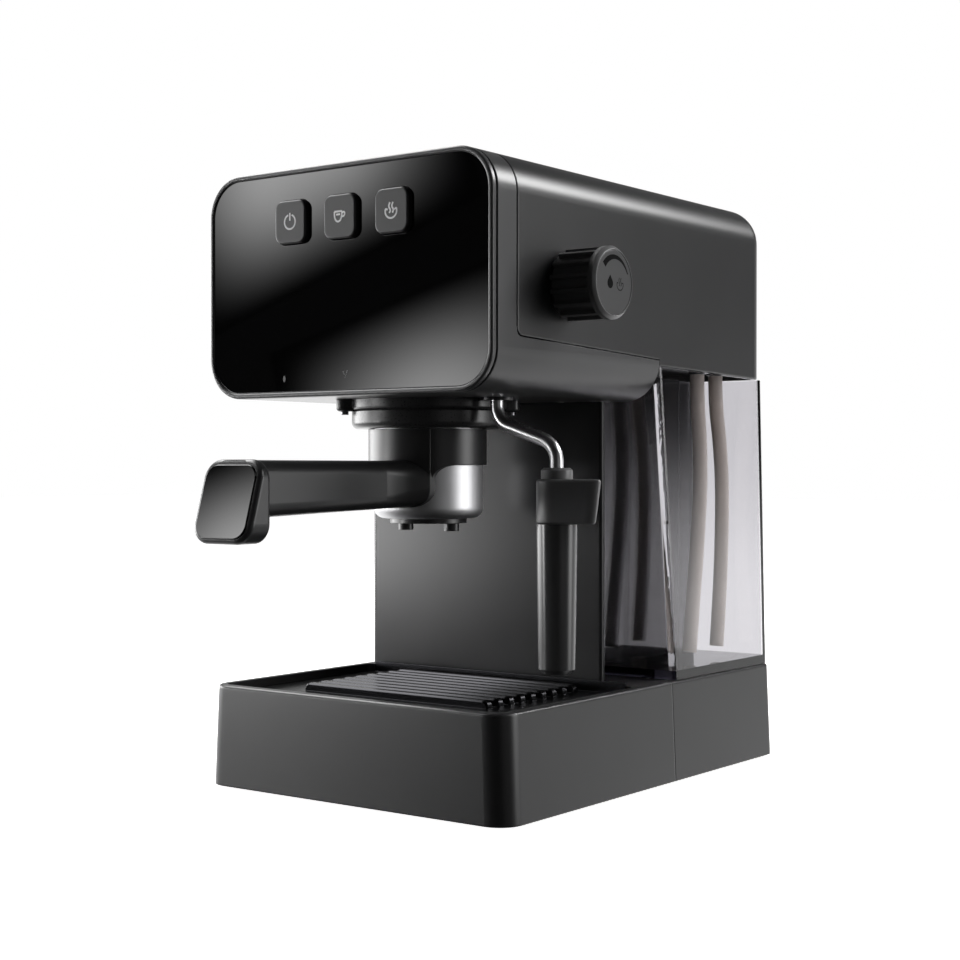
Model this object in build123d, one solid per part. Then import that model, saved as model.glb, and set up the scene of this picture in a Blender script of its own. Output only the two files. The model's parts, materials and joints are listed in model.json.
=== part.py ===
from build123d import *
import math
import os

# Compact pump espresso machine, in millimetres.
# X runs to the right, Y to the rear and Z up. The origin is on the table, under the middle of the base.

# Clearances
SEAM = 0.3  # between fixed mouldings
PARTING = 0.7  # shown between the head's two mouldings
CLEAR = 0.4  # between a moving piece and its neighbours
RUN = 0.05  # radial, between a shaft and its bore

# Mouldings
WALL = 2.6
BODY_W = 192.8
BODY_REAR = 138.0
HALF_W = BODY_W / 2

# Base
SKIRT_GAP = 1.7
BASE_TOP = 56.8
BASE_W = 205.6
BASE_FRONT = -141.6
BASE_LEAN_SIDE = 2.4
BASE_LEAN_FRONT = 0.8
BASE_FRONT_R = 13.0
BASE_REAR_R = 6.0
BASE_EDGE_R = 1.5
FLOOR_BOTTOM = 2.0
FLOOR_T = 3.0
FLOOR_TOP = FLOOR_BOTTOM + FLOOR_T
TONGUE_W = 136.0
TONGUE_FRONT = -128.0
FOOT_R = 7.5
FOOT_STEM_R = 3.0
FOOT_INSET = 10.0
FOOT_SETBACK = 13.0
FOOT_FRONT = (TONGUE_W / 2 - FOOT_INSET, TONGUE_FRONT + FOOT_SETBACK)
SIDE_INSET = 22.8
FOOT_REAR = (BASE_W / 2 - SIDE_INSET, BODY_REAR - SIDE_INSET)
POST_R = 4.5
POST_X = BASE_W / 2 - SIDE_INSET
POST_Y_LEFT = 12.0
POST_Y_RIGHT = 40.0
POST_Y_REAR = 100.0
POST_SPOTS = [(-POST_X, POST_Y_LEFT), (-POST_X, POST_Y_REAR), (POST_X, POST_Y_RIGHT), (POST_X, POST_Y_REAR)]
SCREW_R = 1.5
SCREW_HEAD_R = 3.2
SCREW_HEAD_T = 1.4
SCREW_L = 14.0
GLAND_X = -55.0
GLAND_Z = 28.0
GLAND_R = 7.0
GLAND_BORE_R = 3.7
GLAND_LIP_R = 9.5
GLAND_LIP_T = 1.5
CABLE_WAY_INSET = 26.0
CABLE_WAY_Y = (80.0, 110.0)
CABLE_WAY_R = 10.0

# Column and rear cover
COLUMN_FRONT = -7.2
COLUMN_INSET = 25.4
COLUMN_RIGHT = HALF_W - COLUMN_INSET
COLUMN_EDGE_R = 4.0
COVER_DEPTH = 20.0
COLUMN_REAR = BODY_REAR - COVER_DEPTH
TANK_ROOM = 51.9
TANK_SIDE_X = HALF_W - TANK_ROOM
WING_T = 4.4
WING_EDGE_R = 1.6
REAR_EDGE_R = 12.0
VENT_COUNT = 9
VENT_W = 64.0
VENT_H = 3.0
VENT_PITCH = 8.0
VENT_BOTTOM = 130.0
COVER_SCREW_INSET = 8.5
COVER_SCREW_X = (REAR_EDGE_R + SCREW_HEAD_R - HALF_W, TANK_SIDE_X - COVER_SCREW_INSET)
COVER_SCREW_LOW = 13.0
COVER_SCREW_HIGH = 16.0

# Head
HEAD_BOTTOM = 213.6
HEAD_TOP = 334.3
HEAD_R = 22.0
HEAD_H = HEAD_TOP - HEAD_BOTTOM
HEAD_MID = (HEAD_TOP + HEAD_BOTTOM) / 2
COLLAR_FRONT = -139.3
COLLAR_REAR = -123.3
COLLAR_REBATE = 0.6
BAND_REAR = 12.6
EDGE_R = 4.0
EDGE_FRONT = 242.1
EDGE_MID = 236.6
TANK_EDGE_FRONT = 233.3
TANK_EDGE_REAR = 230.3
COVER_REAR_R = 14.0

# Front bezel, panel and buttons
BEZEL_FRONT = -143.9
BEZEL_REAR = -140.9
BEZEL_W = 2.9
BEZEL_LEDGE = 3.0
BEZEL_ROUND = 1.2
BEZEL_GROOVE = 1.2
PANEL_SINK = 0.9
PANEL_T = 2.4
PANEL_FRONT = BEZEL_FRONT + PANEL_SINK
PANEL_REAR = PANEL_FRONT + PANEL_T
BUTTON_W = 21.8
BUTTON_H = 22.8
BUTTON_R = 5.0
BUTTON_ROUND = 1.2
BUTTON_PROUD = 3.0
BUTTON_PITCH = 34.6
BUTTON_DROP = 28.3
BUTTON_Z = HEAD_TOP - BUTTON_DROP
BUTTON_TRAVEL = 2.0
BUTTON_LIP = 1.6
BUTTON_LIP_T = 1.2
STEM_R = 3.0
BOARD_GAP = 12.0
BOARD_W = 124.0
BOARD_H = 34.0
BOARD_T = 1.6
BOARD_POST_R = 3.0
SWITCH_W = 12.0
SWITCH_T = 4.0
PLUNGER_R = 2.4
PLUNGER_T = 0.8

# Steam knob and valve
KNOB_Y = -81.6
KNOB_Z = HEAD_BOTTOM + 0.4615 * HEAD_H
KNOB_REACH = 30.0
KNOB_FACE_X = HALF_W + KNOB_REACH
KNOB_R = 18.5
KNOB_WAIST_R = 17.0
KNOB_RIM_T = 6.5
KNOB_CHAMFER = 1.6
KNOB_RIBS = 15
KNOB_RIB_R = 1.3
KNOB_RIB_END = 4.0
KNOB_GAP = 0.6
CAP_R = KNOB_R - KNOB_CHAMFER - 0.5
CAP_T = 1.4
CAP_SINK = 0.2
BUSH_T = 2.4
BUSH_R = 15.0
BUSH_SPIGOT_R = 7.0
SPINDLE_R = 4.0
SPINDLE_GRIP = 14.0
VALVE_R = 11.0
VALVE_REACH = 34.4
VALVE_LEFT = HALF_W - VALVE_REACH
VALVE_NECK_R = 8.0
VALVE_NECK_L = 8.0
VALVE_SEAT = 12.0
PORT_R = 4.0
PORT_L = 6.0

# Brew group
GROUP_Y = -72.3
FLANGE_R = 42.6
FLANGE_BOTTOM = 207.1
FLANGE_ROUND = 2.0
LUG_PCR = 46.0
LUG_R = 4.6
LUG_ANGLES = (45, 135, 225)
NECK_R = 25.0
RING_R = 42.0
RING_ROUND = 3.2
RING_BOTTOM = 197.8
RING_BORE_R = 34.0
LEDGE_TOP = 201.6
LEDGE_R = 30.4
EAR_ANGLE = 24.0
UNLOCK_ANGLE = 30.0
GASKET_IN_R = 26.2
GASKET_OUT_R = 31.0
GASKET_SINK = 1.5
SCREEN_R = 24.5
SCREEN_T = 1.4
SCREEN_BOSS_R = 10.0
SCREEN_BOSS_T = 1.5
SCREEN_SCREW_R = 4.5
FLANGE_SCREW_R = 2.1
FLANGE_SCREW_T = 1.8

# Filter holder
CUP_R = 30.0
CUP_BOTTOM = 148.9
CUP_ROUND = 6.0
CUP_BORE_R = 28.0
CUP_FLOOR = 7.0
CUP_RIM_Z = 204.2
CUP_NECK_R = 29.6
CUP_DRAIN_R = 3.0
SLEEVE_R = 32.0
SLEEVE_BOTTOM = 178.0
BASKET_R = 27.4
BASKET_T = 0.7
BASKET_DEPTH = 24.0
SPOUT_PLATE_R = 21.0
SPOUT_PLATE_T = 2.6
SPOUT_X = 16.0
SPOUT_R = 4.1
SPOUT_BORE_R = 2.4
SPOUT_L = 4.2

# Handle
ARM_W = 24.0
ARM_R = 7.0
ARM_TOP = 180.2
ARM_DEPTH_CUP = 24.0
ARM_DEPTH_PAD = 28.5
ROOT_W = 43.0
ROOT_Y = -98.0
ROOT_FRONT = -122.0
ROOT_FLARE = 0.3
ROOT_R = 10.0
APRON_R = 8.0
SHELL_T = 1.4
PAD_Y = -227.4
PAD_Z = 160.2
PAD_W = 39.0
PAD_H = 40.5
PAD_R = 10.0
PAD_T = 11.0
PAD_LEAN = 16.0
PAD_EDGE_R = 2.4
INSERT_MARGIN = 2.6
INSERT_SINK = 1.0
INSERT_PROUD = 0.6

# Steam wand
WAND_TURN_X = 51.6
WAND_Y = -79.1
WAND_X = 89.9
PIPE_R = 3.5
PIPE_BEND_R = 12.0
PIPE_HIGH_BEND = 200.9
PIPE_LOW_BEND = 188.2
PIPE_END = 100.0
WAND_BUSH_R = 7.0
WAND_BUSH_LIP_R = 9.0
WAND_BUSH_LIP_T = 1.6
WAND_BUSH_RISE = 4.0
WAND_COLLAR_R = 5.6
WAND_COLLAR_T = 4.0
NUT_R = 8.2
NUT_TOP = 176.4
GRIP_R = 10.6
GRIP_TOP = 170.6
TAB_REACH = 27.4
TAB_SLOPE = 4.0
TAB_T = 6.5
TAB_H = 21.0
TAB_R = 3.0
SLEEVE_TOP = 147.6
FROTH_TOP_R = 10.6
FROTH_END_R = 9.6
FROTH_END = 70.4
FROTH_BORE_R = 4.4

# Boiler
BOILER_R = 37.0
BOILER_FLANGE_R = 44.0
BOILER_FLANGE_T = 5.0
BOILER_SPLIT = HEAD_BOTTOM + 0.434 * HEAD_H
BOILER_DOME = HEAD_H / 6
BOILER_INLET_L = 8.0
BOLT_PCR = 40.5
BOLT_R = 2.0
BOLT_HEAD_R = 3.4
BOLT_HEAD_T = 3.0
BOLT_COUNT = 6
TERMINAL_R = 2.5
TERMINAL_L = 12.0
TERMINAL_X = 18.0
THERMOSTAT_R = 8.0
THERMOSTAT_T = 6.0
THERMOSTAT_Y = 20.0

# Pump
PUMP_X = (TANK_SIDE_X - HALF_W) / 2
PUMP_Y = 55.0
PUMP_Z = 110.0
PUMP_R = 14.0
PUMP_L = 0.57 * (TANK_SIDE_X + HALF_W)
MOUNT_R = 20.0
MOUNT_T = 6.0
COIL_GAP = 5.0
COIL_W = PUMP_L - 4 * MOUNT_T - 2 * COIL_GAP
COIL_H = 44.0
BRACKET_T = 2.0
NIPPLE_R = 3.0
NIPPLE_L = 7.0
HOSE_R = 4.3
FEED_R = 2.2

# Water tank
TANK_WALL = 2.5
TANK_FLOOR = 5.0
TANK_GAP = 0.5
TANK_FRONT_BOTTOM = 26.0
TANK_FRONT_TOP = 13.4
TANK_SETBACK = 1.4
TANK_RIGHT_BOTTOM = BASE_W / 2 - BASE_LEAN_SIDE - TANK_SETBACK
TANK_RIGHT_TOP = HALF_W - TANK_SETBACK
TANK_REAR = BODY_REAR - TANK_SETBACK
TANK_CORNER_R = 3.0
HOSE_INSET = 22.4
HOSE_X = HALF_W - HOSE_INSET
HOSE_TOP = TANK_EDGE_FRONT - PARTING
SUCTION_ROUTE = [(91.4, 216.0), (95.0, 192.0), (95.6, 163.0), (90.4, 121.0), (85.9, 92.0), (82.4, 66.5)]
RETURN_ROUTE = [(113.6, 216.0), (119.4, 192.0), (122.6, 163.0), (121.2, 121.0), (118.6, 92.0), (115.4, 67.5)]

# Middle deck
DECK_RISE = 1.5
DECK_BOTTOM = TANK_EDGE_FRONT + DECK_RISE
DECK_T = 2.4
DECK_RIM = 6.0
DECK_HOLE_X = (DECK_RIM - HALF_W, TANK_SIDE_X - DECK_RIM)
DECK_HOLE_Y = (22.0, COLUMN_REAR - DECK_RIM)
DECK_HOLE_R = 8.0
SPIGOT_R = 5.2

# Drip tray and grid
RIM_W = 5.6
TRAY_FLOOR = 2.6
TRAY_ARM_REAR = 20.0
GRID_TOP = 52.5
GRID_T = 2.0
GRID_LEDGE = 4.0
GRID_CORNER_R = 5.0
BAR_COUNT = 9
BAR_PITCH = 9.9
BAR_W = 5.4
BAR_FIRST_Y = -101.0
BAR_LENGTH = 127.0
BAR_RISE = 4.2
BAR_END_R = 3.6
BAR_CHAMFER = 0.9
GRID_UPSTAND = 6.0
GRID_UPSTAND_T = 1.6


def upright(outline, bottom, top):
    """Extrude a plan outline between two heights."""
    return extrude(Plane.XY.offset(bottom) * outline, top - bottom, dir=(0, 0, 1))


def frontal(outline, front, rear):
    """Extrude an outline drawn in X and Z between two Y planes."""
    return extrude(Plane.XZ.offset(-rear) * outline, rear - front, dir=(0, -1, 0))


def sideways(outline, left, right):
    """Extrude an outline drawn in Y and Z between two X planes."""
    return extrude(Plane.YZ.offset(left) * outline, right - left, dir=(1, 0, 0))


def rectangle(across, up, corner=0.0):
    """Rectangle between two pairs of limits, with round corners where asked."""
    width = across[1] - across[0]
    height = up[1] - up[0]
    shape = RectangleRounded(width, height, corner) if corner else Rectangle(width, height)
    return Pos((across[0] + across[1]) / 2, (up[0] + up[1]) / 2) * shape


def block(x_limits, y_limits, z_limits, corner=0.0):
    """Box between three pairs of limits, with round upright edges where asked."""
    return upright(rectangle(x_limits, y_limits, corner), *z_limits)


def post(x, y, radius, bottom, top):
    """Upright round bar."""
    return upright(Pos(x, y) * Circle(radius), bottom, top)


def cross_bar(y, z, radius, left, right):
    """Round bar along X."""
    return sideways(Pos(y, z) * Circle(radius), left, right)


def deep_bar(x, z, radius, front, rear):
    """Round bar along Y."""
    return frontal(Pos(x, z) * Circle(radius), front, rear)


def turned(section, x=0.0, y=GROUP_Y):
    """Turn a half section of (radius, height) points about an upright axis."""
    return Pos(x, y, 0) * revolve(Plane.XZ * Polygon(*section, align=None), Axis.Z)


def sector(inner, outer, middle, width, bottom, top):
    """Part of a ring about the group's axis, centred on an angle from +X."""
    face = Plane.XZ * rectangle((inner, outer), (bottom, top))
    return Pos(0, GROUP_Y, 0) * Rot(0, 0, middle - width / 2) * revolve(face, Axis.Z, width)


def tube(points, radius, bends):
    """Round bar along straight runs joined by tangent arcs."""
    path = FilletPolyline(*points, radius=bends)
    return sweep(Plane(path @ 0, z_dir=path % 0) * Circle(radius), path=path)


def screw(x, y, z, direction, length, head_r=SCREW_HEAD_R, head_t=SCREW_HEAD_T, shank_r=SCREW_R):
    """Pan-head screw with the underside of its head at a point, driven along a direction."""
    seat = Plane((x, y, z), z_dir=direction)
    return extrude(seat * Circle(shank_r), length) + extrude(seat * Circle(head_r), -head_t)


# Base


def base_plan(height):
    """Plan of the base at a height: its sides and front lean in towards the top."""
    lean = (height - SKIRT_GAP) / (BASE_TOP - SKIRT_GAP)
    half = BASE_W / 2 - BASE_LEAN_SIDE * lean
    plan = rectangle((-half, half), (BASE_FRONT + BASE_LEAN_FRONT * lean, BODY_REAR))
    plan = fillet(plan.vertices().group_by(Axis.Y)[0], BASE_FRONT_R)
    plan = fillet(plan.vertices().group_by(Axis.Y)[-1], BASE_REAR_R)
    return Plane.XY.offset(height) * plan


def base_form():
    """Whole base, tray and rear part together, with its soft top edge."""
    form = loft([base_plan(SKIRT_GAP), base_plan(BASE_TOP)])
    return fillet(form.faces().sort_by(Axis.Z)[-1].edges(), BASE_EDGE_R)


def behind_tray(gap):
    """Space behind the drip tray, which reaches further back beside the column."""
    far = BASE_W
    rear = BODY_REAR + far
    main = block((-far, COLUMN_RIGHT + gap), (COLUMN_FRONT - gap, rear), (0, BASE_TOP + 1))
    return main + block((COLUMN_RIGHT, far), (TRAY_ARM_REAR - gap, rear), (0, BASE_TOP + 1))


def tongue(gap):
    """Front half of the floor, which the drip tray straddles."""
    half = TONGUE_W / 2 + gap
    return block((-half, half), (TONGUE_FRONT - gap, COLUMN_FRONT + WALL + gap), (0, FLOOR_TOP + gap))


def rear_base():
    """Rear half of the base: a deck on four walls, with posts for the floor."""
    half = BASE_W / 2 - BASE_LEAN_SIDE - WALL
    deck_z = BASE_TOP - WALL
    wide = (TRAY_ARM_REAR + WALL, BODY_REAR - WALL)
    hollow = block((-half, COLUMN_RIGHT - WALL), (COLUMN_FRONT + WALL, wide[1]), (0, deck_z))
    hollow += block((0, half), wide, (0, deck_z), BASE_REAR_R - WALL)
    body = (base_form() & behind_tray(0)) - hollow
    for x, y in POST_SPOTS:
        body += post(x, y, POST_R, FLOOR_TOP, deck_z) - post(x, y, SCREW_R, FLOOR_TOP, FLOOR_TOP + SCREW_L)
    body -= tongue(SEAM)
    body -= deep_bar(GLAND_X, GLAND_Z, GLAND_R, BODY_REAR - 2 * WALL, BODY_REAR + WALL)
    cable_way = block((CABLE_WAY_INSET - HALF_W, 0), CABLE_WAY_Y, (deck_z - 1, BASE_TOP + 1), CABLE_WAY_R)
    return body - cable_way


def base_plate():
    """Floor of the machine, with a tongue under the drip tray."""
    half = BASE_W / 2 - BASE_LEAN_SIDE - WALL - SEAM
    near = COLUMN_FRONT + WALL + SEAM
    rear = BODY_REAR - WALL - SEAM
    side = COLUMN_RIGHT - WALL - SEAM
    levels = (FLOOR_BOTTOM, FLOOR_TOP)
    plate = block((-TONGUE_W / 2, TONGUE_W / 2), (TONGUE_FRONT, near + WALL), levels)
    plate += block((-half, side), (near, rear), levels)
    plate += block((0, half), (TRAY_ARM_REAR + WALL + SEAM, rear), levels, BASE_REAR_R)
    for x, y in foot_spots():
        plate -= post(x, y, FOOT_STEM_R, 0, FLOOR_TOP)
    for x, y in POST_SPOTS:
        plate -= post(x, y, SCREW_R + RUN, 0, FLOOR_TOP)
    return plate


def foot_spots():
    """Places of the four feet."""
    return [(side * x, y) for x, y in (FOOT_FRONT, FOOT_REAR) for side in (-1, 1)]


def feet():
    """Four push-in rubber feet."""
    section = [
        (0, 0),
        (FOOT_R - 0.8, 0),
        (FOOT_R, FLOOR_BOTTOM / 2),
        (FOOT_R, FLOOR_BOTTOM),
        (FOOT_STEM_R, FLOOR_BOTTOM),
        (FOOT_STEM_R, FLOOR_TOP),
        (0, FLOOR_TOP),
    ]
    return Compound([turned(section, x, y) for x, y in foot_spots()])


def base_screws():
    """Four screws that hold the floor to the rear base."""
    return Compound([screw(x, y, FLOOR_BOTTOM, (0, 0, 1), SCREW_L) for x, y in POST_SPOTS])


def cord_gland():
    """Bush in the rear wall where the mains lead comes in."""
    gland = deep_bar(GLAND_X, GLAND_Z, GLAND_R, BODY_REAR - 2 * WALL, BODY_REAR)
    gland += deep_bar(GLAND_X, GLAND_Z, GLAND_LIP_R, BODY_REAR, BODY_REAR + GLAND_LIP_T)
    return gland - deep_bar(GLAND_X, GLAND_Z, GLAND_BORE_R, BODY_REAR - 3 * WALL, BODY_REAR + 2 * GLAND_LIP_T)


# Drip tray


def pocket_limits(inset):
    """Limits in X and Y of the tray's opening, drawn in by an inset."""
    half = BASE_W / 2 - BASE_LEAN_SIDE - RIM_W - inset
    front = BASE_FRONT + BASE_LEAN_FRONT + RIM_W + inset
    return (-half, half), (front, COLUMN_FRONT - CLEAR - WALL - inset)


def drip_tray():
    """Front of the base: a pan with a ledge for the grid, which straddles the floor's tongue."""
    tray = base_form() - behind_tray(CLEAR)
    grid_bottom = GRID_TOP - GRID_T
    tray -= block(*pocket_limits(0), (grid_bottom, BASE_TOP + 1), GRID_CORNER_R)
    pan_floor = FLOOR_TOP + CLEAR + TRAY_FLOOR
    tray -= block(*pocket_limits(GRID_LEDGE), (pan_floor, BASE_TOP), GRID_CORNER_R)
    return tray - tongue(CLEAR)


def drip_grid():
    """Grid of raised bars over slots, with an upstand along its rear edge."""
    across, along = pocket_limits(CLEAR)
    bottom = GRID_TOP - GRID_T
    grid = block(across, along, (bottom, GRID_TOP), GRID_CORNER_R)
    half = BAR_LENGTH / 2
    for index in range(BAR_COUNT):
        y = BAR_FIRST_Y + index * BAR_PITCH
        outline = rectangle((-half, half), (GRID_TOP, GRID_TOP + BAR_RISE))
        outline = fillet(outline.vertices().group_by(Axis.Y)[-1], BAR_END_R)
        bar = frontal(outline, y - BAR_W / 2, y + BAR_W / 2)
        long_edges = bar.edges().filter_by(Axis.X).group_by(Axis.Z)[-1]
        grid += chamfer(long_edges, BAR_CHAMFER)
    slot_w = BAR_PITCH - BAR_W
    for index in range(BAR_COUNT - 1):
        y = BAR_FIRST_Y + (index + 0.5) * BAR_PITCH
        slot = (y - slot_w / 2, y + slot_w / 2)
        grid -= block((-half + slot_w, half - slot_w), slot, (0, BASE_TOP + BAR_RISE))
    rear = (along[1] - GRID_UPSTAND_T, along[1])
    edge = (across[0] + GRID_CORNER_R, across[1] - GRID_CORNER_R)
    return grid + block(edge, rear, (GRID_TOP, GRID_TOP + GRID_UPSTAND))


# Column


def column_plan():
    """Plan of the column, whose front runs on to the right as a thin wing before the tank."""
    wing = COLUMN_FRONT + WING_T
    plan = Polygon(
        (-HALF_W, COLUMN_FRONT),
        (COLUMN_RIGHT, COLUMN_FRONT),
        (COLUMN_RIGHT, wing),
        (TANK_SIDE_X, wing),
        (TANK_SIDE_X, COLUMN_REAR),
        (-HALF_W, COLUMN_REAR),
        align=None,
    )
    plan = fillet(plan.vertices().group_by(Axis.X)[0].sort_by(Axis.Y)[0], COLUMN_EDGE_R)
    return fillet(plan.vertices().group_by(Axis.X)[-1], WING_EDGE_R)


def under_cover(gap):
    """Space below the top cover's lower edge, which is round at its front end, with a gap to it."""
    front = COLLAR_REAR + SEAM - gap
    high = EDGE_FRONT + 2 * EDGE_R
    edge = [
        (front, high),
        (front, EDGE_FRONT - gap),
        (BAND_REAR, EDGE_MID - gap),
        (BAND_REAR, TANK_EDGE_FRONT - gap),
        (BODY_REAR + WALL, TANK_EDGE_REAR - gap),
    ]
    floor = [(BODY_REAR + WALL, 0), (front - WALL, 0), (front - WALL, high)]
    outline = Polygon(*edge, *floor, align=None)
    corner = outline.vertices().sort_by_distance((front, EDGE_FRONT - gap))[0]
    return sideways(fillet(corner, EDGE_R), -BODY_W, BODY_W)


def column_housing():
    """Walls of the column, open at the rear and at the top, with the wing."""
    walls = upright(column_plan(), BASE_TOP, HEAD_MID)
    inside = (COLUMN_FRONT + WALL, COLUMN_REAR + WALL)
    walls -= block((WALL - HALF_W, TANK_SIDE_X - WALL), inside, (0, HEAD_TOP))
    walls &= under_cover(SEAM)
    return walls - block((-BODY_W, BODY_W), (-BODY_W, BAND_REAR), (HEAD_BOTTOM - SEAM, HEAD_TOP))


def rear_cover():
    """Vented rear wall of the column, with round corners on its left."""
    near = COLUMN_REAR + SEAM
    outer = rectangle((-HALF_W, TANK_SIDE_X), (near, BODY_REAR))
    corner = outer.vertices().group_by(Axis.X)[0].sort_by(Axis.Y)[-1]
    outer = fillet(corner, REAR_EDGE_R)
    inner = rectangle((-HALF_W + WALL, TANK_SIDE_X - WALL), (near - WALL, BODY_REAR - WALL))
    corner = inner.vertices().group_by(Axis.X)[0].sort_by(Axis.Y)[-1]
    inner = fillet(corner, REAR_EDGE_R - WALL)
    cover = upright(outer - inner, BASE_TOP + SEAM, HEAD_MID) & under_cover(SEAM)
    middle = (TANK_SIDE_X - HALF_W) / 2
    for index in range(VENT_COUNT):
        z = VENT_BOTTOM + index * VENT_PITCH
        slot = Pos(middle, z) * SlotOverall(VENT_W, VENT_H)
        cover -= frontal(slot, BODY_REAR - 2 * WALL, BODY_REAR + WALL)
    for x, z in cover_screw_spots():
        cover += deep_bar(x, z, POST_R, near, BODY_REAR - WALL)
        cover -= deep_bar(x, z, SCREW_R + RUN, near - WALL, BODY_REAR + WALL)
    return cover


def cover_screw_spots():
    """Places of the rear cover's screws in X and Z."""
    levels = (BASE_TOP + COVER_SCREW_LOW, TANK_EDGE_REAR - COVER_SCREW_HIGH)
    return [(x, z) for z in levels for x in COVER_SCREW_X]


def cover_screws():
    """Four screws in the rear cover."""
    return Compound([screw(x, BODY_REAR, z, (0, -1, 0), SCREW_L) for x, z in cover_screw_spots()])


# Head


def head_outline(inset):
    """Front outline of the head, drawn in by an inset."""
    half = HALF_W - inset
    return rectangle((-half, half), (HEAD_BOTTOM + inset, HEAD_TOP - inset), HEAD_R - inset)


def head_housing():
    """Front collar, lower side bands and underside of the head."""
    shell = frontal(head_outline(0) - head_outline(WALL), COLLAR_FRONT, BAND_REAR - SEAM)
    shell = fillet(shell.faces().sort_by(Axis.Y)[0].outer_wire().edges(), COLLAR_REBATE)
    collar = block((-BODY_W, BODY_W), (2 * COLLAR_FRONT, COLLAR_REAR), (0, 2 * HEAD_TOP))
    shell &= collar + under_cover(PARTING)
    rebate = frontal(head_outline(-WALL) - head_outline(COLLAR_REBATE), COLLAR_REAR - COLLAR_REBATE, COLLAR_REAR)
    shell -= rebate & block((-BODY_W, BODY_W), (COLLAR_FRONT, 0), (EDGE_FRONT + EDGE_R, 2 * HEAD_TOP))
    shell -= post(0, GROUP_Y, NECK_R + SEAM, HEAD_BOTTOM - 1, HEAD_MID)
    shell -= post(WAND_TURN_X, WAND_Y, WAND_BUSH_R, HEAD_BOTTOM - 1, HEAD_MID)
    way_x = (HEAD_R - HALF_W, TANK_SIDE_X - 2 * WALL)
    return shell - block(way_x, (COLUMN_FRONT + WALL, BAND_REAR), (HEAD_BOTTOM - 1, HEAD_BOTTOM + 2 * WALL))


def cover_form(inset):
    """Solid form of the top cover, with round upper and rear edges."""
    half = HALF_W - inset
    outline = rectangle((-half, half), (BASE_TOP, HEAD_TOP - inset), HEAD_R - inset)
    form = frontal(outline, COLLAR_REAR + SEAM, BODY_REAR - inset)
    return fillet(form.faces().sort_by(Axis.Y)[-1].edges(), COVER_REAR_R - inset)


def top_cover():
    """Shell over the head, with a hole for the steam knob's bush."""
    outer = cover_form(0)
    outer = fillet(outer.faces().sort_by(Axis.Y)[0].edges(), COLLAR_REBATE)
    shell = outer - cover_form(WALL) - under_cover(0)
    return shell - cross_bar(KNOB_Y, KNOB_Z, BUSH_SPIGOT_R, HALF_W - 2 * WALL, HALF_W + WALL)


def mid_deck():
    """Plate inside the cover over column and tank, with spigots for the hoses."""
    half = HALF_W - WALL - SEAM
    limits = (BAND_REAR + 2 * SEAM, BODY_REAR - WALL - SEAM)
    deck = block((-half, half), limits, (DECK_BOTTOM, DECK_BOTTOM + DECK_T), COVER_REAR_R)
    deck -= block(DECK_HOLE_X, DECK_HOLE_Y, (DECK_BOTTOM - 1, DECK_BOTTOM + 2 * DECK_T), DECK_HOLE_R)
    for route in (SUCTION_ROUTE, RETURN_ROUTE):
        deck += post(HOSE_X, route[0][0], SPIGOT_R, HOSE_TOP, DECK_BOTTOM)
    return deck


# Front


def front_bezel():
    """Rounded ring round the panel, with a groove behind it and a ledge for the panel."""
    ring = frontal(head_outline(0) - head_outline(BEZEL_W), BEZEL_FRONT, BEZEL_REAR)
    front = ring.faces().sort_by(Axis.Y)[0]
    ring = fillet(front.edges(), BEZEL_ROUND)
    ring += frontal(head_outline(BEZEL_GROOVE) - head_outline(BEZEL_W), BEZEL_REAR, COLLAR_FRONT)
    ledge = head_outline(BEZEL_GROOVE) - head_outline(BEZEL_W + BEZEL_LEDGE)
    return ring + frontal(ledge, PANEL_REAR, COLLAR_FRONT)


def button_spots():
    """Places of the three buttons along X."""
    return [index * BUTTON_PITCH for index in (-1, 0, 1)]


def front_panel():
    """Gloss panel with three windows, and posts behind it for the board."""
    panel = frontal(head_outline(BEZEL_W + RUN), PANEL_FRONT, PANEL_REAR)
    for x in button_spots():
        window = RectangleRounded(BUTTON_W + 2 * CLEAR, BUTTON_H + 2 * CLEAR, BUTTON_R + CLEAR)
        panel -= frontal(Pos(x, BUTTON_Z) * window, PANEL_FRONT - 1, PANEL_REAR + 1)
    for x in (-1, 1):
        for z in (-1, 1):
            spot = (x * (BOARD_W / 2 - 2 * BOARD_POST_R), BUTTON_Z + z * (BOARD_H / 2 - BOARD_POST_R))
            panel += deep_bar(*spot, BOARD_POST_R, PANEL_REAR, PANEL_REAR + BOARD_GAP)
    return panel


def button(x):
    """Push button: rounded cap, lip behind the panel, and stem."""
    front = PANEL_FRONT - BUTTON_PROUD
    lip_front = PANEL_REAR + SEAM
    cap = frontal(Pos(x, BUTTON_Z) * RectangleRounded(BUTTON_W, BUTTON_H, BUTTON_R), front, lip_front)
    cap = fillet(cap.faces().sort_by(Axis.Y)[0].edges(), BUTTON_ROUND)
    lip = RectangleRounded(BUTTON_W + 2 * BUTTON_LIP, BUTTON_H + 2 * BUTTON_LIP, BUTTON_R + BUTTON_LIP)
    cap += frontal(Pos(x, BUTTON_Z) * lip, lip_front, lip_front + BUTTON_LIP_T)
    stem_rear = PANEL_REAR + BOARD_GAP - SWITCH_T - PLUNGER_T - BUTTON_TRAVEL - CLEAR
    return cap + deep_bar(x, BUTTON_Z, STEM_R, lip_front, stem_rear)


def control_board():
    """Circuit board on the panel's posts."""
    front = PANEL_REAR + BOARD_GAP
    return frontal(Pos(0, BUTTON_Z) * Rectangle(BOARD_W, BOARD_H), front, front + BOARD_T)


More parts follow.
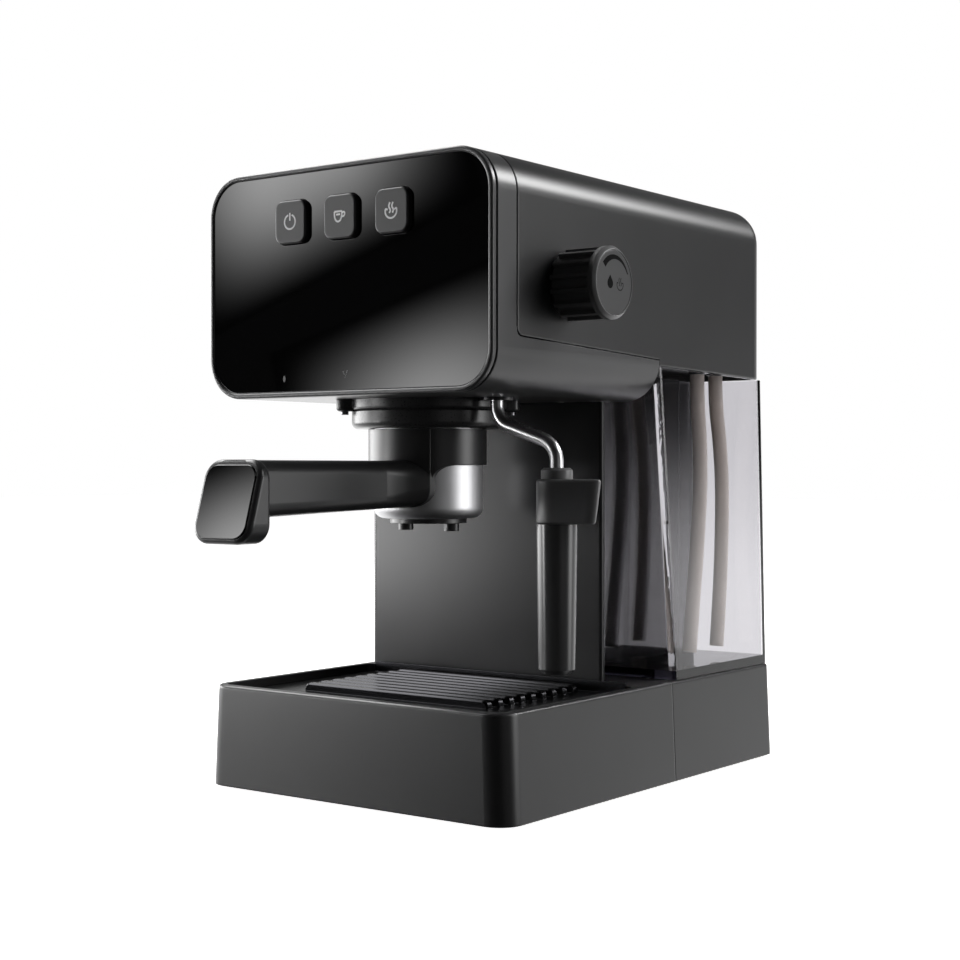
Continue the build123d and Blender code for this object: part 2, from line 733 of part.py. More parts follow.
def switches():
    """One switch on the board behind each button."""
    rear = PANEL_REAR + BOARD_GAP
    made = []
    for x in button_spots():
        body = frontal(Pos(x, BUTTON_Z) * Rectangle(SWITCH_W, SWITCH_W), rear - SWITCH_T, rear)
        made.append(body + deep_bar(x, BUTTON_Z, PLUNGER_R, rear - SWITCH_T - PLUNGER_T, rear - SWITCH_T))
    return Compound(made)


# Steam knob and valve


def turned_across(section, y=KNOB_Y, z=KNOB_Z):
    """Turn a half section of (x, radius) points about an axis along X."""
    return Pos(0, y, z) * revolve(Plane.XY * Polygon(*section, align=None), Axis.X)


def steam_knob():
    """Ribbed knob with a wider, chamfered face."""
    rear = HALF_W + BUSH_T + KNOB_GAP
    rim = KNOB_FACE_X - KNOB_RIM_T
    waist_end = rim - KNOB_RIB_END
    section = [
        (rear, 0),
        (rear, KNOB_WAIST_R),
        (waist_end, KNOB_WAIST_R),
        (rim, KNOB_R),
        (KNOB_FACE_X - KNOB_CHAMFER, KNOB_R),
        (KNOB_FACE_X, KNOB_R - KNOB_CHAMFER),
        (KNOB_FACE_X, 0),
    ]
    knob = turned_across(section)
    rib = cross_bar(0, KNOB_WAIST_R, KNOB_RIB_R, rear, waist_end)
    for index in range(KNOB_RIBS):
        knob += Pos(0, KNOB_Y, KNOB_Z) * Rot(360 * index / KNOB_RIBS, 0, 0) * rib
    knob -= cross_bar(KNOB_Y, KNOB_Z, CAP_R + RUN, cap_front() - CAP_T, KNOB_FACE_X + 1)
    return knob - cross_bar(KNOB_Y, KNOB_Z, SPINDLE_R, rear - 1, rear + SPINDLE_GRIP)


def cap_front():
    """Front of the knob's cap, a little below its rim."""
    return KNOB_FACE_X - CAP_SINK


def knob_cap():
    """Flat cap let into the knob's face."""
    cap = cross_bar(KNOB_Y, KNOB_Z, CAP_R, cap_front() - CAP_T, cap_front())
    return chamfer(cap.faces().sort_by(Axis.X)[-1].edges(), CAP_SINK)


def knob_bush():
    """Ring behind the knob, with a spigot in the cover's hole."""
    bush = cross_bar(KNOB_Y, KNOB_Z, BUSH_R, HALF_W, HALF_W + BUSH_T)
    bush = chamfer(bush.faces().sort_by(Axis.X)[-1].edges(), BUSH_T / 3)
    bush += cross_bar(KNOB_Y, KNOB_Z, BUSH_SPIGOT_R, HALF_W - WALL, HALF_W)
    return bush - cross_bar(KNOB_Y, KNOB_Z, SPINDLE_R + RUN, 0, KNOB_FACE_X)


def valve_right():
    """Right end of the valve, against the inside of the cover."""
    return HALF_W - WALL


def valve_spindle():
    """Spindle from the valve's seat into the knob."""
    end = HALF_W + BUSH_T + KNOB_GAP + SPINDLE_GRIP
    return cross_bar(KNOB_Y, KNOB_Z, SPINDLE_R, VALVE_LEFT + VALVE_SEAT + CLEAR, end)


def steam_valve():
    """Brass valve body with a neck, an upper inlet port and a lower outlet port."""
    shoulder = valve_right() - VALVE_NECK_L
    body = sideways(Pos(KNOB_Y, KNOB_Z) * RegularPolygon(VALVE_R, 6), VALVE_LEFT, shoulder)
    body += cross_bar(KNOB_Y, KNOB_Z, VALVE_NECK_R, shoulder, valve_right())
    body -= cross_bar(KNOB_Y, KNOB_Z, SPINDLE_R + RUN, VALVE_LEFT + VALVE_SEAT, KNOB_FACE_X)
    reach = VALVE_R + PORT_L
    return body + post(valve_port_x(), KNOB_Y, PORT_R, KNOB_Z - reach, KNOB_Z + reach)


def valve_port_x():
    """Place along X of the valve's two ports."""
    return VALVE_LEFT + VALVE_SEAT / 2


def steam_feed_pipe():
    """Pipe from the boiler's lid over to the valve's upper port."""
    top = boiler_top()
    start_y = GROUP_Y - THERMOSTAT_Y
    rise = top + BOILER_DOME
    points = [
        (0, start_y, top),
        (0, start_y, rise),
        (valve_port_x(), KNOB_Y, rise),
        (valve_port_x(), KNOB_Y, KNOB_Z + VALVE_R + PORT_L),
    ]
    return tube(points, FEED_R, 2 * FEED_R)


def valve_outlet_pipe():
    """Pipe from the valve's outlet to the top of the wand's collar."""
    start = KNOB_Z - VALVE_R - PORT_L
    end = collar_top() + SEAM
    middle = (start + end) / 2
    points = [
        (valve_port_x(), KNOB_Y, start),
        (valve_port_x(), KNOB_Y, middle),
        (WAND_TURN_X, WAND_Y, middle),
        (WAND_TURN_X, WAND_Y, end),
    ]
    return tube(points, FEED_R, 2 * FEED_R)


# Brew group


def group_flange():
    """Flange under the head, with a neck up to the boiler, a boss for the screen and three screw lugs."""
    section = [
        (0, FLANGE_BOTTOM - SCREEN_BOSS_T),
        (SCREEN_BOSS_R, FLANGE_BOTTOM - SCREEN_BOSS_T),
        (SCREEN_BOSS_R, FLANGE_BOTTOM),
        (GASKET_IN_R, FLANGE_BOTTOM),
        (GASKET_IN_R, FLANGE_BOTTOM + GASKET_SINK),
        (GASKET_OUT_R, FLANGE_BOTTOM + GASKET_SINK),
        (GASKET_OUT_R, FLANGE_BOTTOM),
        (FLANGE_R - FLANGE_ROUND, FLANGE_BOTTOM),
        (FLANGE_R, FLANGE_BOTTOM + FLANGE_ROUND),
        (FLANGE_R, HEAD_BOTTOM),
        (NECK_R, HEAD_BOTTOM),
        (NECK_R, HEAD_BOTTOM + WALL),
        (0, HEAD_BOTTOM + WALL),
    ]
    flange = turned(section)
    for angle in LUG_ANGLES:
        plan = Pos(LUG_PCR / 2, 0) * SlotCenterToCenter(LUG_PCR, 2 * LUG_R)
        lug = upright(plan, FLANGE_BOTTOM, HEAD_BOTTOM)
        lug = fillet(lug.faces().sort_by(Axis.Z)[0].edges(), FLANGE_ROUND)
        lug -= post(0, 0, GASKET_OUT_R + SEAM, 0, HEAD_BOTTOM)
        flange += Pos(0, GROUP_Y, 0) * Rot(0, 0, angle) * lug
    return flange - post(0, GROUP_Y, SCREW_R, 0, HEAD_BOTTOM)


def lug_spots():
    """Places of the flange's screw lugs; the front right is left clear for the wand."""
    angles = [math.radians(angle) for angle in LUG_ANGLES]
    return [(LUG_PCR * math.cos(a), GROUP_Y + LUG_PCR * math.sin(a)) for a in angles]


def flange_screws():
    """One screw under each lug of the flange."""
    head = (FLANGE_BOTTOM - FLANGE_SCREW_T, FLANGE_BOTTOM)
    return Compound([post(x, y, FLANGE_SCREW_R, *head) for x, y in lug_spots()])


def bayonet_ring():
    """Ring with two ledges that carry the filter holder's ears, and two gaps that let them in."""
    section = [
        (LEDGE_R, RING_BOTTOM),
        (RING_R, RING_BOTTOM),
        (RING_R, FLANGE_BOTTOM),
        (RING_BORE_R, FLANGE_BOTTOM),
        (RING_BORE_R, LEDGE_TOP),
        (LEDGE_R, LEDGE_TOP),
    ]
    ring = turned(section)
    ring = fillet(ring.faces().sort_by(Axis.Z)[0].outer_wire().edges(), RING_ROUND)
    for side in (0, 180):
        gap = EAR_ANGLE + 4
        ring -= sector(CUP_BORE_R, RING_BORE_R, side - UNLOCK_ANGLE, gap, RING_BOTTOM - 1, FLANGE_BOTTOM - 1)
    return ring


def gasket_bottom():
    """Lower face of the gasket, just above the basket's rim."""
    return CUP_RIM_Z + BASKET_T + SEAM


def group_gasket():
    """Rubber ring that the filter holder closes against."""
    section = rectangle((GASKET_IN_R, GASKET_OUT_R), (gasket_bottom(), FLANGE_BOTTOM + GASKET_SINK))
    return Pos(0, GROUP_Y, 0) * revolve(Plane.XZ * section, Axis.Z)


def shower_screen():
    """Water spreader under the flange's boss."""
    top = FLANGE_BOTTOM - SCREEN_BOSS_T
    screen = post(0, GROUP_Y, SCREEN_R, top - SCREEN_T, top)
    screen = fillet(screen.faces().sort_by(Axis.Z)[0].edges(), SCREEN_T / 2)
    return screen - post(0, GROUP_Y, SCREW_R, 0, HEAD_TOP)


def shower_screw():
    """Screw through the spreader into the flange."""
    seat = FLANGE_BOTTOM - SCREEN_BOSS_T - SCREEN_T
    return screw(0, GROUP_Y, seat, (0, 0, 1), HEAD_BOTTOM - seat - 1, SCREEN_SCREW_R)


# Filter holder


def sleeve_top():
    """Top of the black sleeve, just under the bayonet ring."""
    return RING_BOTTOM - CLEAR


def portafilter_cup():
    """Metal cup with a round foot, a neck and two bayonet ears."""
    section = [
        (0, CUP_BOTTOM),
        (CUP_R, CUP_BOTTOM),
        (CUP_R, SLEEVE_BOTTOM),
        (CUP_NECK_R, SLEEVE_BOTTOM),
        (CUP_NECK_R, CUP_RIM_Z),
        (CUP_BORE_R, CUP_RIM_Z),
        (CUP_BORE_R, CUP_BOTTOM + CUP_FLOOR),
        (0, CUP_BOTTOM + CUP_FLOOR),
    ]
    cup = turned(section)
    cup = fillet(cup.faces().sort_by(Axis.Z)[0].edges(), CUP_ROUND)
    ear = (LEDGE_TOP + CLEAR, CUP_RIM_Z)
    for side in (0, 180):
        cup += sector(CUP_BORE_R + RUN, RING_BORE_R - CLEAR, side, EAR_ANGLE, *ear)
    for x in (-SPOUT_X, SPOUT_X):
        cup -= post(x, GROUP_Y, CUP_DRAIN_R, 0, CUP_RIM_Z)
    return cup


def filter_basket():
    """Thin basket that hangs by its rim in the cup."""
    bottom = CUP_RIM_Z - BASKET_DEPTH
    section = [
        (0, bottom),
        (BASKET_R - 2 * BASKET_T, bottom),
        (BASKET_R, bottom + 2 * BASKET_T),
        (BASKET_R, CUP_RIM_Z),
        (CUP_NECK_R, CUP_RIM_Z),
        (CUP_NECK_R, CUP_RIM_Z + BASKET_T),
        (BASKET_R - BASKET_T, CUP_RIM_Z + BASKET_T),
        (BASKET_R - BASKET_T, bottom + 2.5 * BASKET_T),
        (BASKET_R - 2.5 * BASKET_T, bottom + BASKET_T),
        (0, bottom + BASKET_T),
    ]
    return turned(section)


def spout_block():
    """Plate under the cup with two short spouts."""
    top = CUP_BOTTOM
    plate = post(0, GROUP_Y, SPOUT_PLATE_R, top - SPOUT_PLATE_T, top)
    for x in (-SPOUT_X, SPOUT_X):
        plate += post(x, GROUP_Y, SPOUT_R, top - SPOUT_PLATE_T - SPOUT_L, top - SPOUT_PLATE_T)
        plate -= post(x, GROUP_Y, SPOUT_BORE_R, 0, top)
    return plate


def pad_plane():
    """Plane of the handle's end face, which leans back at the top."""
    lean = math.radians(PAD_LEAN)
    return Plane((0, PAD_Y, PAD_Z), x_dir=(1, 0, 0), z_dir=(0, -math.cos(lean), math.sin(lean)))


def handle_section(y, width, depth, corner):
    """Section of the handle's arm or root, level along its top."""
    outline = rectangle((-width / 2, width / 2), (ARM_TOP - depth, ARM_TOP), corner)
    return Plane.XZ.offset(-y) * outline


def arm_depth(y):
    """Depth of the arm, which grows towards the pad."""
    share = (y - GROUP_Y) / (PAD_Y - GROUP_Y)
    return ARM_DEPTH_CUP + (ARM_DEPTH_PAD - ARM_DEPTH_CUP) * share


def handle_arm():
    """Arm from the pad to the root, and the root that flares out to the sleeve."""
    pad_end = PAD_Y + PAD_T / 2
    straight = [handle_section(y, ARM_W, arm_depth(y), ARM_R) for y in (pad_end, ROOT_FRONT)]
    bend_y = (ROOT_FRONT + ROOT_Y) / 2
    bend_w = ARM_W + ROOT_FLARE * (ROOT_W - ARM_W)
    flare = [
        straight[1],
        handle_section(bend_y, bend_w, arm_depth(bend_y), (ARM_R + ROOT_R) / 2),
        handle_section(ROOT_Y, ROOT_W, arm_depth(ROOT_Y), ROOT_R),
    ]
    foot = extrude(flare[2], GROUP_Y - ROOT_Y, dir=(0, 1, 0))
    return loft(straight) + loft(flare) + foot


def root_bottom():
    """Lowest point of the root, at the sleeve."""
    return ARM_TOP - arm_depth(ROOT_Y)


def apron_outline():
    """Front outline of the sleeve's apron: round below, sweeping out to the sleeve's lower edge."""
    half = ROOT_W / 2 - RUN
    wide = 2 * SLEEVE_R
    outline = Polygon(
        (-half, root_bottom()),
        (half, root_bottom()),
        (half, SLEEVE_BOTTOM),
        (wide, SLEEVE_BOTTOM),
        (wide, sleeve_top()),
        (-wide, sleeve_top()),
        (-wide, SLEEVE_BOTTOM),
        (-half, SLEEVE_BOTTOM),
        align=None,
    )
    outline = fillet(outline.vertices().group_by(Axis.Y)[0], ROOT_R)
    inner = [v for v in outline.vertices().group_by(Axis.Y)[-2] if abs(v.X) < SLEEVE_R]
    return fillet(inner, APRON_R)


def front_shell():
    """Thicker front of the sleeve above the arm, as wide as the root."""
    outer = SLEEVE_R + SHELL_T
    angle = 2 * math.degrees(math.asin(ROOT_W / 2 / outer))
    return sector(CUP_NECK_R, outer, 270, angle, ARM_TOP - ROOT_R, sleeve_top())


def handle_pad():
    """End pad of the handle, cut off at a slant in front."""
    pad_rear = PAD_Y + PAD_T
    outline = Pos(0, PAD_Z) * RectangleRounded(PAD_W, PAD_H, PAD_R)
    behind_face = extrude(pad_plane() * Rectangle(2 * PAD_W, 2 * PAD_H), -PAD_H)
    pad = frontal(outline, PAD_Y - PAD_H, pad_rear) & behind_face
    pad = fillet(pad.faces().sort_by(pad_axis())[-1].edges(), PAD_EDGE_R)
    return fillet(pad.faces().sort_by(Axis.Y)[-1].edges(), PAD_EDGE_R)


def portafilter_handle():
    """Black sleeve with its apron, flared root, arm and slanted end pad, one moulding."""
    apron = post(0, GROUP_Y, SLEEVE_R, root_bottom(), sleeve_top())
    handle = apron & frontal(apron_outline(), GROUP_Y - 2 * SLEEVE_R, GROUP_Y)
    handle += post(0, GROUP_Y, SLEEVE_R, SLEEVE_BOTTOM, sleeve_top())
    handle += front_shell()
    handle += handle_arm()
    handle += handle_pad()
    handle -= insert_form(RUN)
    handle -= post(0, GROUP_Y, CUP_R + RUN, 0, SLEEVE_BOTTOM)
    return handle - post(0, GROUP_Y, CUP_NECK_R + RUN, 0, HEAD_TOP)


def insert_form(gap):
    """Plate let into the handle's end face."""
    width = PAD_W - 2 * INSERT_MARGIN
    height = PAD_H / math.cos(math.radians(PAD_LEAN)) - 2 * INSERT_MARGIN
    outline = RectangleRounded(width + 2 * gap, height + 2 * gap, PAD_R - INSERT_MARGIN + gap)
    sunk = pad_plane().offset(-INSERT_SINK - gap)
    return extrude(sunk * outline, INSERT_SINK + gap + INSERT_PROUD)


def handle_insert():
    """Bare gloss plate in the handle's end face."""
    plate = insert_form(0)
    return fillet(plate.faces().sort_by(pad_axis())[-1].edges(), INSERT_PROUD)


def pad_axis():
    """Axis square to the handle's end face."""
    plane = pad_plane()
    return Axis(plane.origin, plane.z_dir)


# Steam wand


def collar_bottom():
    """Underside of the collar that the wand hangs by, on top of its bush."""
    return HEAD_BOTTOM + WALL + WAND_BUSH_RISE + SEAM


def collar_top():
    """Top of the wand's collar."""
    return collar_bottom() + WAND_COLLAR_T


def steam_pipe():
    """Bent steam pipe with the collar that it hangs by."""
    points = [
        (WAND_TURN_X, WAND_Y, collar_top()),
        (WAND_TURN_X, WAND_Y, PIPE_HIGH_BEND),
        (WAND_X, WAND_Y, PIPE_LOW_BEND),
        (WAND_X, WAND_Y, PIPE_END),
    ]
    return tube(points, PIPE_R, PIPE_BEND_R) + post(
        WAND_TURN_X, WAND_Y, WAND_COLLAR_R, collar_bottom(), collar_top()
    )


def wand_bush():
    """Flanged bush in the head's underside that the pipe turns in."""
    section = [
        (PIPE_R + RUN, HEAD_BOTTOM - WAND_BUSH_LIP_T),
        (WAND_BUSH_LIP_R, HEAD_BOTTOM - WAND_BUSH_LIP_T),
        (WAND_BUSH_LIP_R, HEAD_BOTTOM),
        (WAND_BUSH_R, HEAD_BOTTOM),
        (WAND_BUSH_R, HEAD_BOTTOM + WALL + WAND_BUSH_RISE),
        (PIPE_R + RUN, HEAD_BOTTOM + WALL + WAND_BUSH_RISE),
    ]
    return turned(section, WAND_TURN_X, WAND_Y)


def wand_nut():
    """Round nut above the grip."""
    nut = post(WAND_X, WAND_Y, NUT_R, GRIP_TOP, NUT_TOP)
    nut = chamfer(nut.faces().sort_by(Axis.Z)[-1].edges(), NUT_R / 6)
    return nut - post(WAND_X, WAND_Y, PIPE_R, 0, HEAD_TOP)


def froth_grip():
    """Grip round the pipe with a finger tab."""
    grip = post(WAND_X, WAND_Y, GRIP_R, SLEEVE_TOP, GRIP_TOP)
    grip = chamfer(grip.faces().sort_by(Axis.Z)[-1].edges(), GRIP_R / 8)
    reach = WAND_X + TAB_REACH
    low = GRIP_TOP - TAB_H
    high = GRIP_TOP - GRIP_R / 8
    tab = Polygon((WAND_X, low), (reach - TAB_SLOPE, low), (reach, high), (WAND_X, high), align=None)
    tab = fillet(tab.vertices().filter_by(lambda v: v.X > WAND_X + 1), TAB_R)
    tab = frontal(tab, WAND_Y - TAB_T / 2, WAND_Y + TAB_T / 2)
    outer = tab.edges().filter_by(Plane.XZ).filter_by(lambda e: e.center().X > WAND_X + GRIP_R)
    grip += fillet(outer, TAB_T / 5)
    return grip - post(WAND_X, WAND_Y, PIPE_R, 0, HEAD_TOP)


def froth_sleeve():
    """Tapered outer sleeve of the milk frother, hollow below the grip."""
    round_end = FROTH_END_R / 4
    section = [
        (FROTH_BORE_R, FROTH_END),
        (FROTH_END_R - round_end, FROTH_END),
        (FROTH_END_R, FROTH_END + round_end),
        (FROTH_TOP_R, SLEEVE_TOP),
        (PIPE_R, SLEEVE_TOP),
        (PIPE_R, SLEEVE_TOP - 2 * WALL),
        (FROTH_BORE_R, SLEEVE_TOP - 2 * WALL),
    ]
    return turned(section, WAND_X, WAND_Y)


# Boiler


def boiler_base():
    """Underside of the boiler, on the floor of the head."""
    return HEAD_BOTTOM + WALL


def boiler_top():
    """Top of the boiler's lid."""
    return BOILER_SPLIT + BOILER_FLANGE_T + BOILER_DOME


def boiler_inlet_z():
    """Height of the boiler's inlet, which lets its pipe run above the middle deck."""
    return DECK_BOTTOM + DECK_T + 4 * FEED_R


def bolt_spots():
    """Places of the boiler's bolts."""
    angles = [math.radians(360 * (index + 0.5) / BOLT_COUNT) for index in range(BOLT_COUNT)]
    return [(BOLT_PCR * math.cos(a), GROUP_Y + BOLT_PCR * math.sin(a)) for a in angles]


def with_bolt_holes(solid):
    """Bore the bolt holes through a flange."""
    for x, y in bolt_spots():
        solid -= post(x, y, BOLT_R + RUN, boiler_base() + BOILER_FLANGE_T, HEAD_TOP)
    return solid


def boiler_body():
    """Lower half of the boiler: foot, shell and upper flange."""
    split = BOILER_SPLIT
    section = [
        (0, boiler_base()),
        (BOILER_FLANGE_R, boiler_base()),
        (BOILER_FLANGE_R, boiler_base() + BOILER_FLANGE_T),
        (BOILER_R, boiler_base() + BOILER_FLANGE_T),
        (BOILER_R, split - BOILER_FLANGE_T),
        (BOILER_FLANGE_R, split - BOILER_FLANGE_T),
        (BOILER_FLANGE_R, split),
        (0, split),
    ]
    body = turned(section)
    body += cross_bar(GROUP_Y, boiler_inlet_z(), PORT_R, -BOILER_R - BOILER_INLET_L, 0)
    return with_bolt_holes(body)


def boiler_lid():
    """Domed lid of the boiler."""
    split = BOILER_SPLIT
    dome_r = BOILER_R
    section = [
        (0, split),
        (BOILER_FLANGE_R, split),
        (BOILER_FLANGE_R, split + BOILER_FLANGE_T),
        (dome_r, split + BOILER_FLANGE_T),
        (dome_r, boiler_top() - BOILER_DOME / 2),
        (dome_r - BOILER_DOME / 2, boiler_top()),
        (0, boiler_top()),
    ]
    return with_bolt_holes(turned(section))


def boiler_bolts():
    """Bolts through both flanges, with nuts below."""
    made = []
    length = 2 * BOILER_FLANGE_T
    for x, y in bolt_spots():
        seat = BOILER_SPLIT + BOILER_FLANGE_T
        bolt = screw(x, y, seat, (0, 0, -1), length, BOLT_HEAD_R, BOLT_HEAD_T, BOLT_R)
        low = BOILER_SPLIT - BOILER_FLANGE_T
        made.append(bolt + post(x, y, BOLT_HEAD_R, low - BOLT_HEAD_T, low))
    return Compound(made)


def heating_element():
    """Two terminals of the heating element on the lid."""
    base = boiler_top()
    spots = (-TERMINAL_X, TERMINAL_X)
    return Compound([post(x, GROUP_Y, TERMINAL_R, base, base + TERMINAL_L) for x in spots])


def thermostats():
    """Brew and steam thermostats on the lid."""
    base = boiler_top()
    spots = [(-TERMINAL_X / 2, THERMOSTAT_Y), (TERMINAL_X / 2, THERMOSTAT_Y)]
    return Compound([post(x, GROUP_Y + y, THERMOSTAT_R, base, base + THERMOSTAT_T) for x, y in spots])


# Pump


def pump_ends():
    """Left and right end of the pump's barrel."""
    return PUMP_X - PUMP_L / 2, PUMP_X + PUMP_L / 2


def pump_body():
    """Barrel of the vibration pump with a nipple at each end."""
    left, right = pump_ends()
    barrel = cross_bar(PUMP_Y, PUMP_Z, PUMP_R, left, right)
    return barrel + cross_bar(PUMP_Y, PUMP_Z, NIPPLE_R, left - NIPPLE_L, right + NIPPLE_L)


def pump_coil():
    """Coil and yoke round the middle of the pump."""
    outline = Pos(PUMP_Y, PUMP_Z) * RectangleRounded(COIL_H, COIL_H, PUMP_R / 4)
    coil = sideways(outline, PUMP_X - COIL_W / 2, PUMP_X + COIL_W / 2)
    return coil - cross_bar(PUMP_Y, PUMP_Z, PUMP_R, *pump_ends())


def mount_limits():
    """Limits along X of the two rubber mounts."""
    left, right = pump_ends()
    inset = 2 * MOUNT_T
    return [(left + inset - MOUNT_T, left + inset), (right - inset, right - inset + MOUNT_T)]


def pump_mounts():
    """Two rubber rings that carry the pump."""
    rings = [cross_bar(PUMP_Y, PUMP_Z, MOUNT_R, *limits) for limits in mount_limits()]
    return Compound([ring - cross_bar(PUMP_Y, PUMP_Z, PUMP_R, *pump_ends()) for ring in rings])


def pump_bracket():
    """Steel bracket on the base's deck with two cheeks that hold the mounts."""
    limits = mount_limits()
    half = MOUNT_R + 2 * BRACKET_T
    y_limits = (PUMP_Y - half, PUMP_Y + half)
    bracket = block((limits[0][0], limits[1][1]), y_limits, (BASE_TOP, BASE_TOP + BRACKET_T))
    for low, high in limits:
        middle = (low + high) / 2
        cheek = rectangle(y_limits, (BASE_TOP, PUMP_Z + half))
        bracket += sideways(cheek, middle - BRACKET_T / 2, middle + BRACKET_T / 2)
        bracket -= cross_bar(PUMP_Y, PUMP_Z, MOUNT_R, low, high)
    return bracket


def inlet_pipe():
    """Formed pipe from the suction spigot down to the pump's inlet."""
    start_y = SUCTION_ROUTE[0][0]
    bend = 3 * HOSE_R
    right = pump_ends()[1] + NIPPLE_L
    drop_x = right + bend
    level = DECK_BOTTOM + DECK_T + 2 * bend
    points = [
        (HOSE_X, start_y, DECK_BOTTOM + DECK_T),
        (HOSE_X, start_y, level),
        (drop_x, start_y, level),
        (drop_x, start_y, PUMP_Z),
        (drop_x, PUMP_Y, PUMP_Z),
        (right, PUMP_Y, PUMP_Z),
    ]
    return tube(points, NIPPLE_R, bend - NIPPLE_R)


def pressure_pipe():
    """Pipe from the pump's outlet up to the boiler's inlet."""
    left = pump_ends()[0] - NIPPLE_L
    side = DECK_HOLE_X[0] + 2 * FEED_R
    level = boiler_inlet_z()
    points = [
        (left, PUMP_Y, PUMP_Z),
        (side, PUMP_Y, PUMP_Z),
        (side, PUMP_Y, level),
        (side, GROUP_Y, level),
        (-BOILER_R - BOILER_INLET_L, GROUP_Y, level),
    ]
    return tube(points, FEED_R, 2 * FEED_R)


# Water tank


def tank_plan(height, inset, top):
    """Plan of the tank at a height: its front and right walls lean in towards the top."""
    share = (height - BASE_TOP) / (top - BASE_TOP)
    front = TANK_FRONT_BOTTOM + (TANK_FRONT_TOP - TANK_FRONT_BOTTOM) * share + inset
    right = TANK_RIGHT_BOTTOM + (TANK_RIGHT_TOP - TANK_RIGHT_BOTTOM) * share - inset
    left = TANK_SIDE_X + TANK_GAP + inset
    return Plane.XY.offset(height) * rectangle((left, right), (front, TANK_REAR - inset), TANK_CORNER_R)


def water_tank():
    """Clear tank with a thick floor, open at the top."""
    bottom = BASE_TOP + SEAM
    top = TANK_EDGE_FRONT
    floor = bottom + TANK_FLOOR
    tank = loft([tank_plan(bottom, 0, top), tank_plan(top, 0, top)])
    tank -= loft([tank_plan(floor, TANK_WALL, top), tank_plan(top, TANK_WALL, top)])
    return tank & under_cover(TANK_GAP)


def bend_radii(points):
    """Largest bend at each inner point of a route that its two runs leave room for."""
    radii = []
    for before, here, after in zip(points, points[1:], points[2:]):
        arriving = Vector(*here) - Vector(*before)
        leaving = Vector(*after) - Vector(*here)
        turn = math.radians(arriving.get_angle(leaving))
        shorter = min(arriving.length, leaving.length)
        radii.append(0.45 * shorter / math.tan(turn / 2))
    return radii


def tank_hose(route):
    """Silicone hose that hangs in the tank."""
    points = [(HOSE_X, route[0][0], HOSE_TOP - SEAM)] + [(HOSE_X, y, z) for y, z in route]
    radii = bend_radii(points)
    path = FilletPolyline(*points, radius=radii)
    hose = sweep(Plane(path @ 0, z_dir=path % 0) * Circle(HOSE_R), path=path)
    share = hose.volume / (math.pi * HOSE_R**2 * path.length)
    print("hose length", round(path.length, 1), "radii", [round(r) for r in radii], "share", round(share, 4))
    return hose


def nodes():
    """Every piece of the machine by name."""
    left, middle, right = button_spots()
    return {
        "base_plate": base_plate(),
        "rear_base": rear_base(),
        "feet": feet(),
        "base_screws": base_screws(),
        "cord_gland": cord_gland(),
        "drip_tray": drip_tray(),
        "drip_grid": drip_grid(),
        "column_housing": column_housing(),
        "rear_cover": rear_cover(),
        "cover_screws": cover_screws(),
        "head_housing": head_housing(),
        "top_cover": top_cover(),
        "mid_deck": mid_deck(),
        "front_bezel": front_bezel(),
        "front_panel": front_panel(),
        "power_button": button(left),
        "brew_button": button(middle),
        "steam_button": button(right),
        "control_board": control_board(),
        "switches": switches(),
        "steam_knob": steam_knob(),
        "knob_cap": knob_cap(),
        "knob_bush": knob_bush(),
        "valve_spindle": valve_spindle(),
        "steam_valve": steam_valve(),
        "steam_feed_pipe": steam_feed_pipe(),
        "valve_outlet_pipe": valve_outlet_pipe(),
        "group_flange": group_flange(),
        "flange_screws": flange_screws(),
        "bayonet_ring": bayonet_ring(),
        "group_gasket": group_gasket(),
        "shower_screen": shower_screen(),
        "shower_screw": shower_screw(),
        "portafilter_cup": portafilter_cup(),
        "filter_basket": filter_basket(),
        "spout_block": spout_block(),
        "portafilter_handle": portafilter_handle(),
        "handle_insert": handle_insert(),
        "steam_pipe": steam_pipe(),
        "wand_bush": wand_bush(),
        "wand_nut": wand_nut(),
        "froth_grip": froth_grip(),
        "froth_sleeve": froth_sleeve(),
        "boiler_body": boiler_body(),
        "boiler_lid": boiler_lid(),
        "boiler_bolts": boiler_bolts(),
        "heating_element": heating_element(),
        "thermostats": thermostats(),
        "pump_body": pump_body(),
        "pump_coil": pump_coil(),
        "pump_mounts": pump_mounts(),
        "pump_bracket": pump_bracket(),
        "inlet_pipe": inlet_pipe(),
        "pressure_pipe": pressure_pipe(),
        "water_tank": water_tank(),
        "suction_hose": tank_hose(SUCTION_ROUTE),
        "return_hose": tank_hose(RETURN_ROUTE),
    }


def main():
    """Write one STEP file for each piece."""
    os.makedirs("parts", exist_ok=True)
    for name, solid in nodes().items():
        export_step(solid, f"parts/{name}.step")


if __name__ == "__main__":
    main()
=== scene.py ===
"""Looks of a compact pump espresso machine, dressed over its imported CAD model.

Everything is in metres, in the CAD model's frame: +X to the user's right, +Y to the rear, +Z up.
"""

import json
import logging
import math
from dataclasses import dataclass, field
from enum import Enum
from typing import Any

import bpy
from mathutils import Matrix, Vector


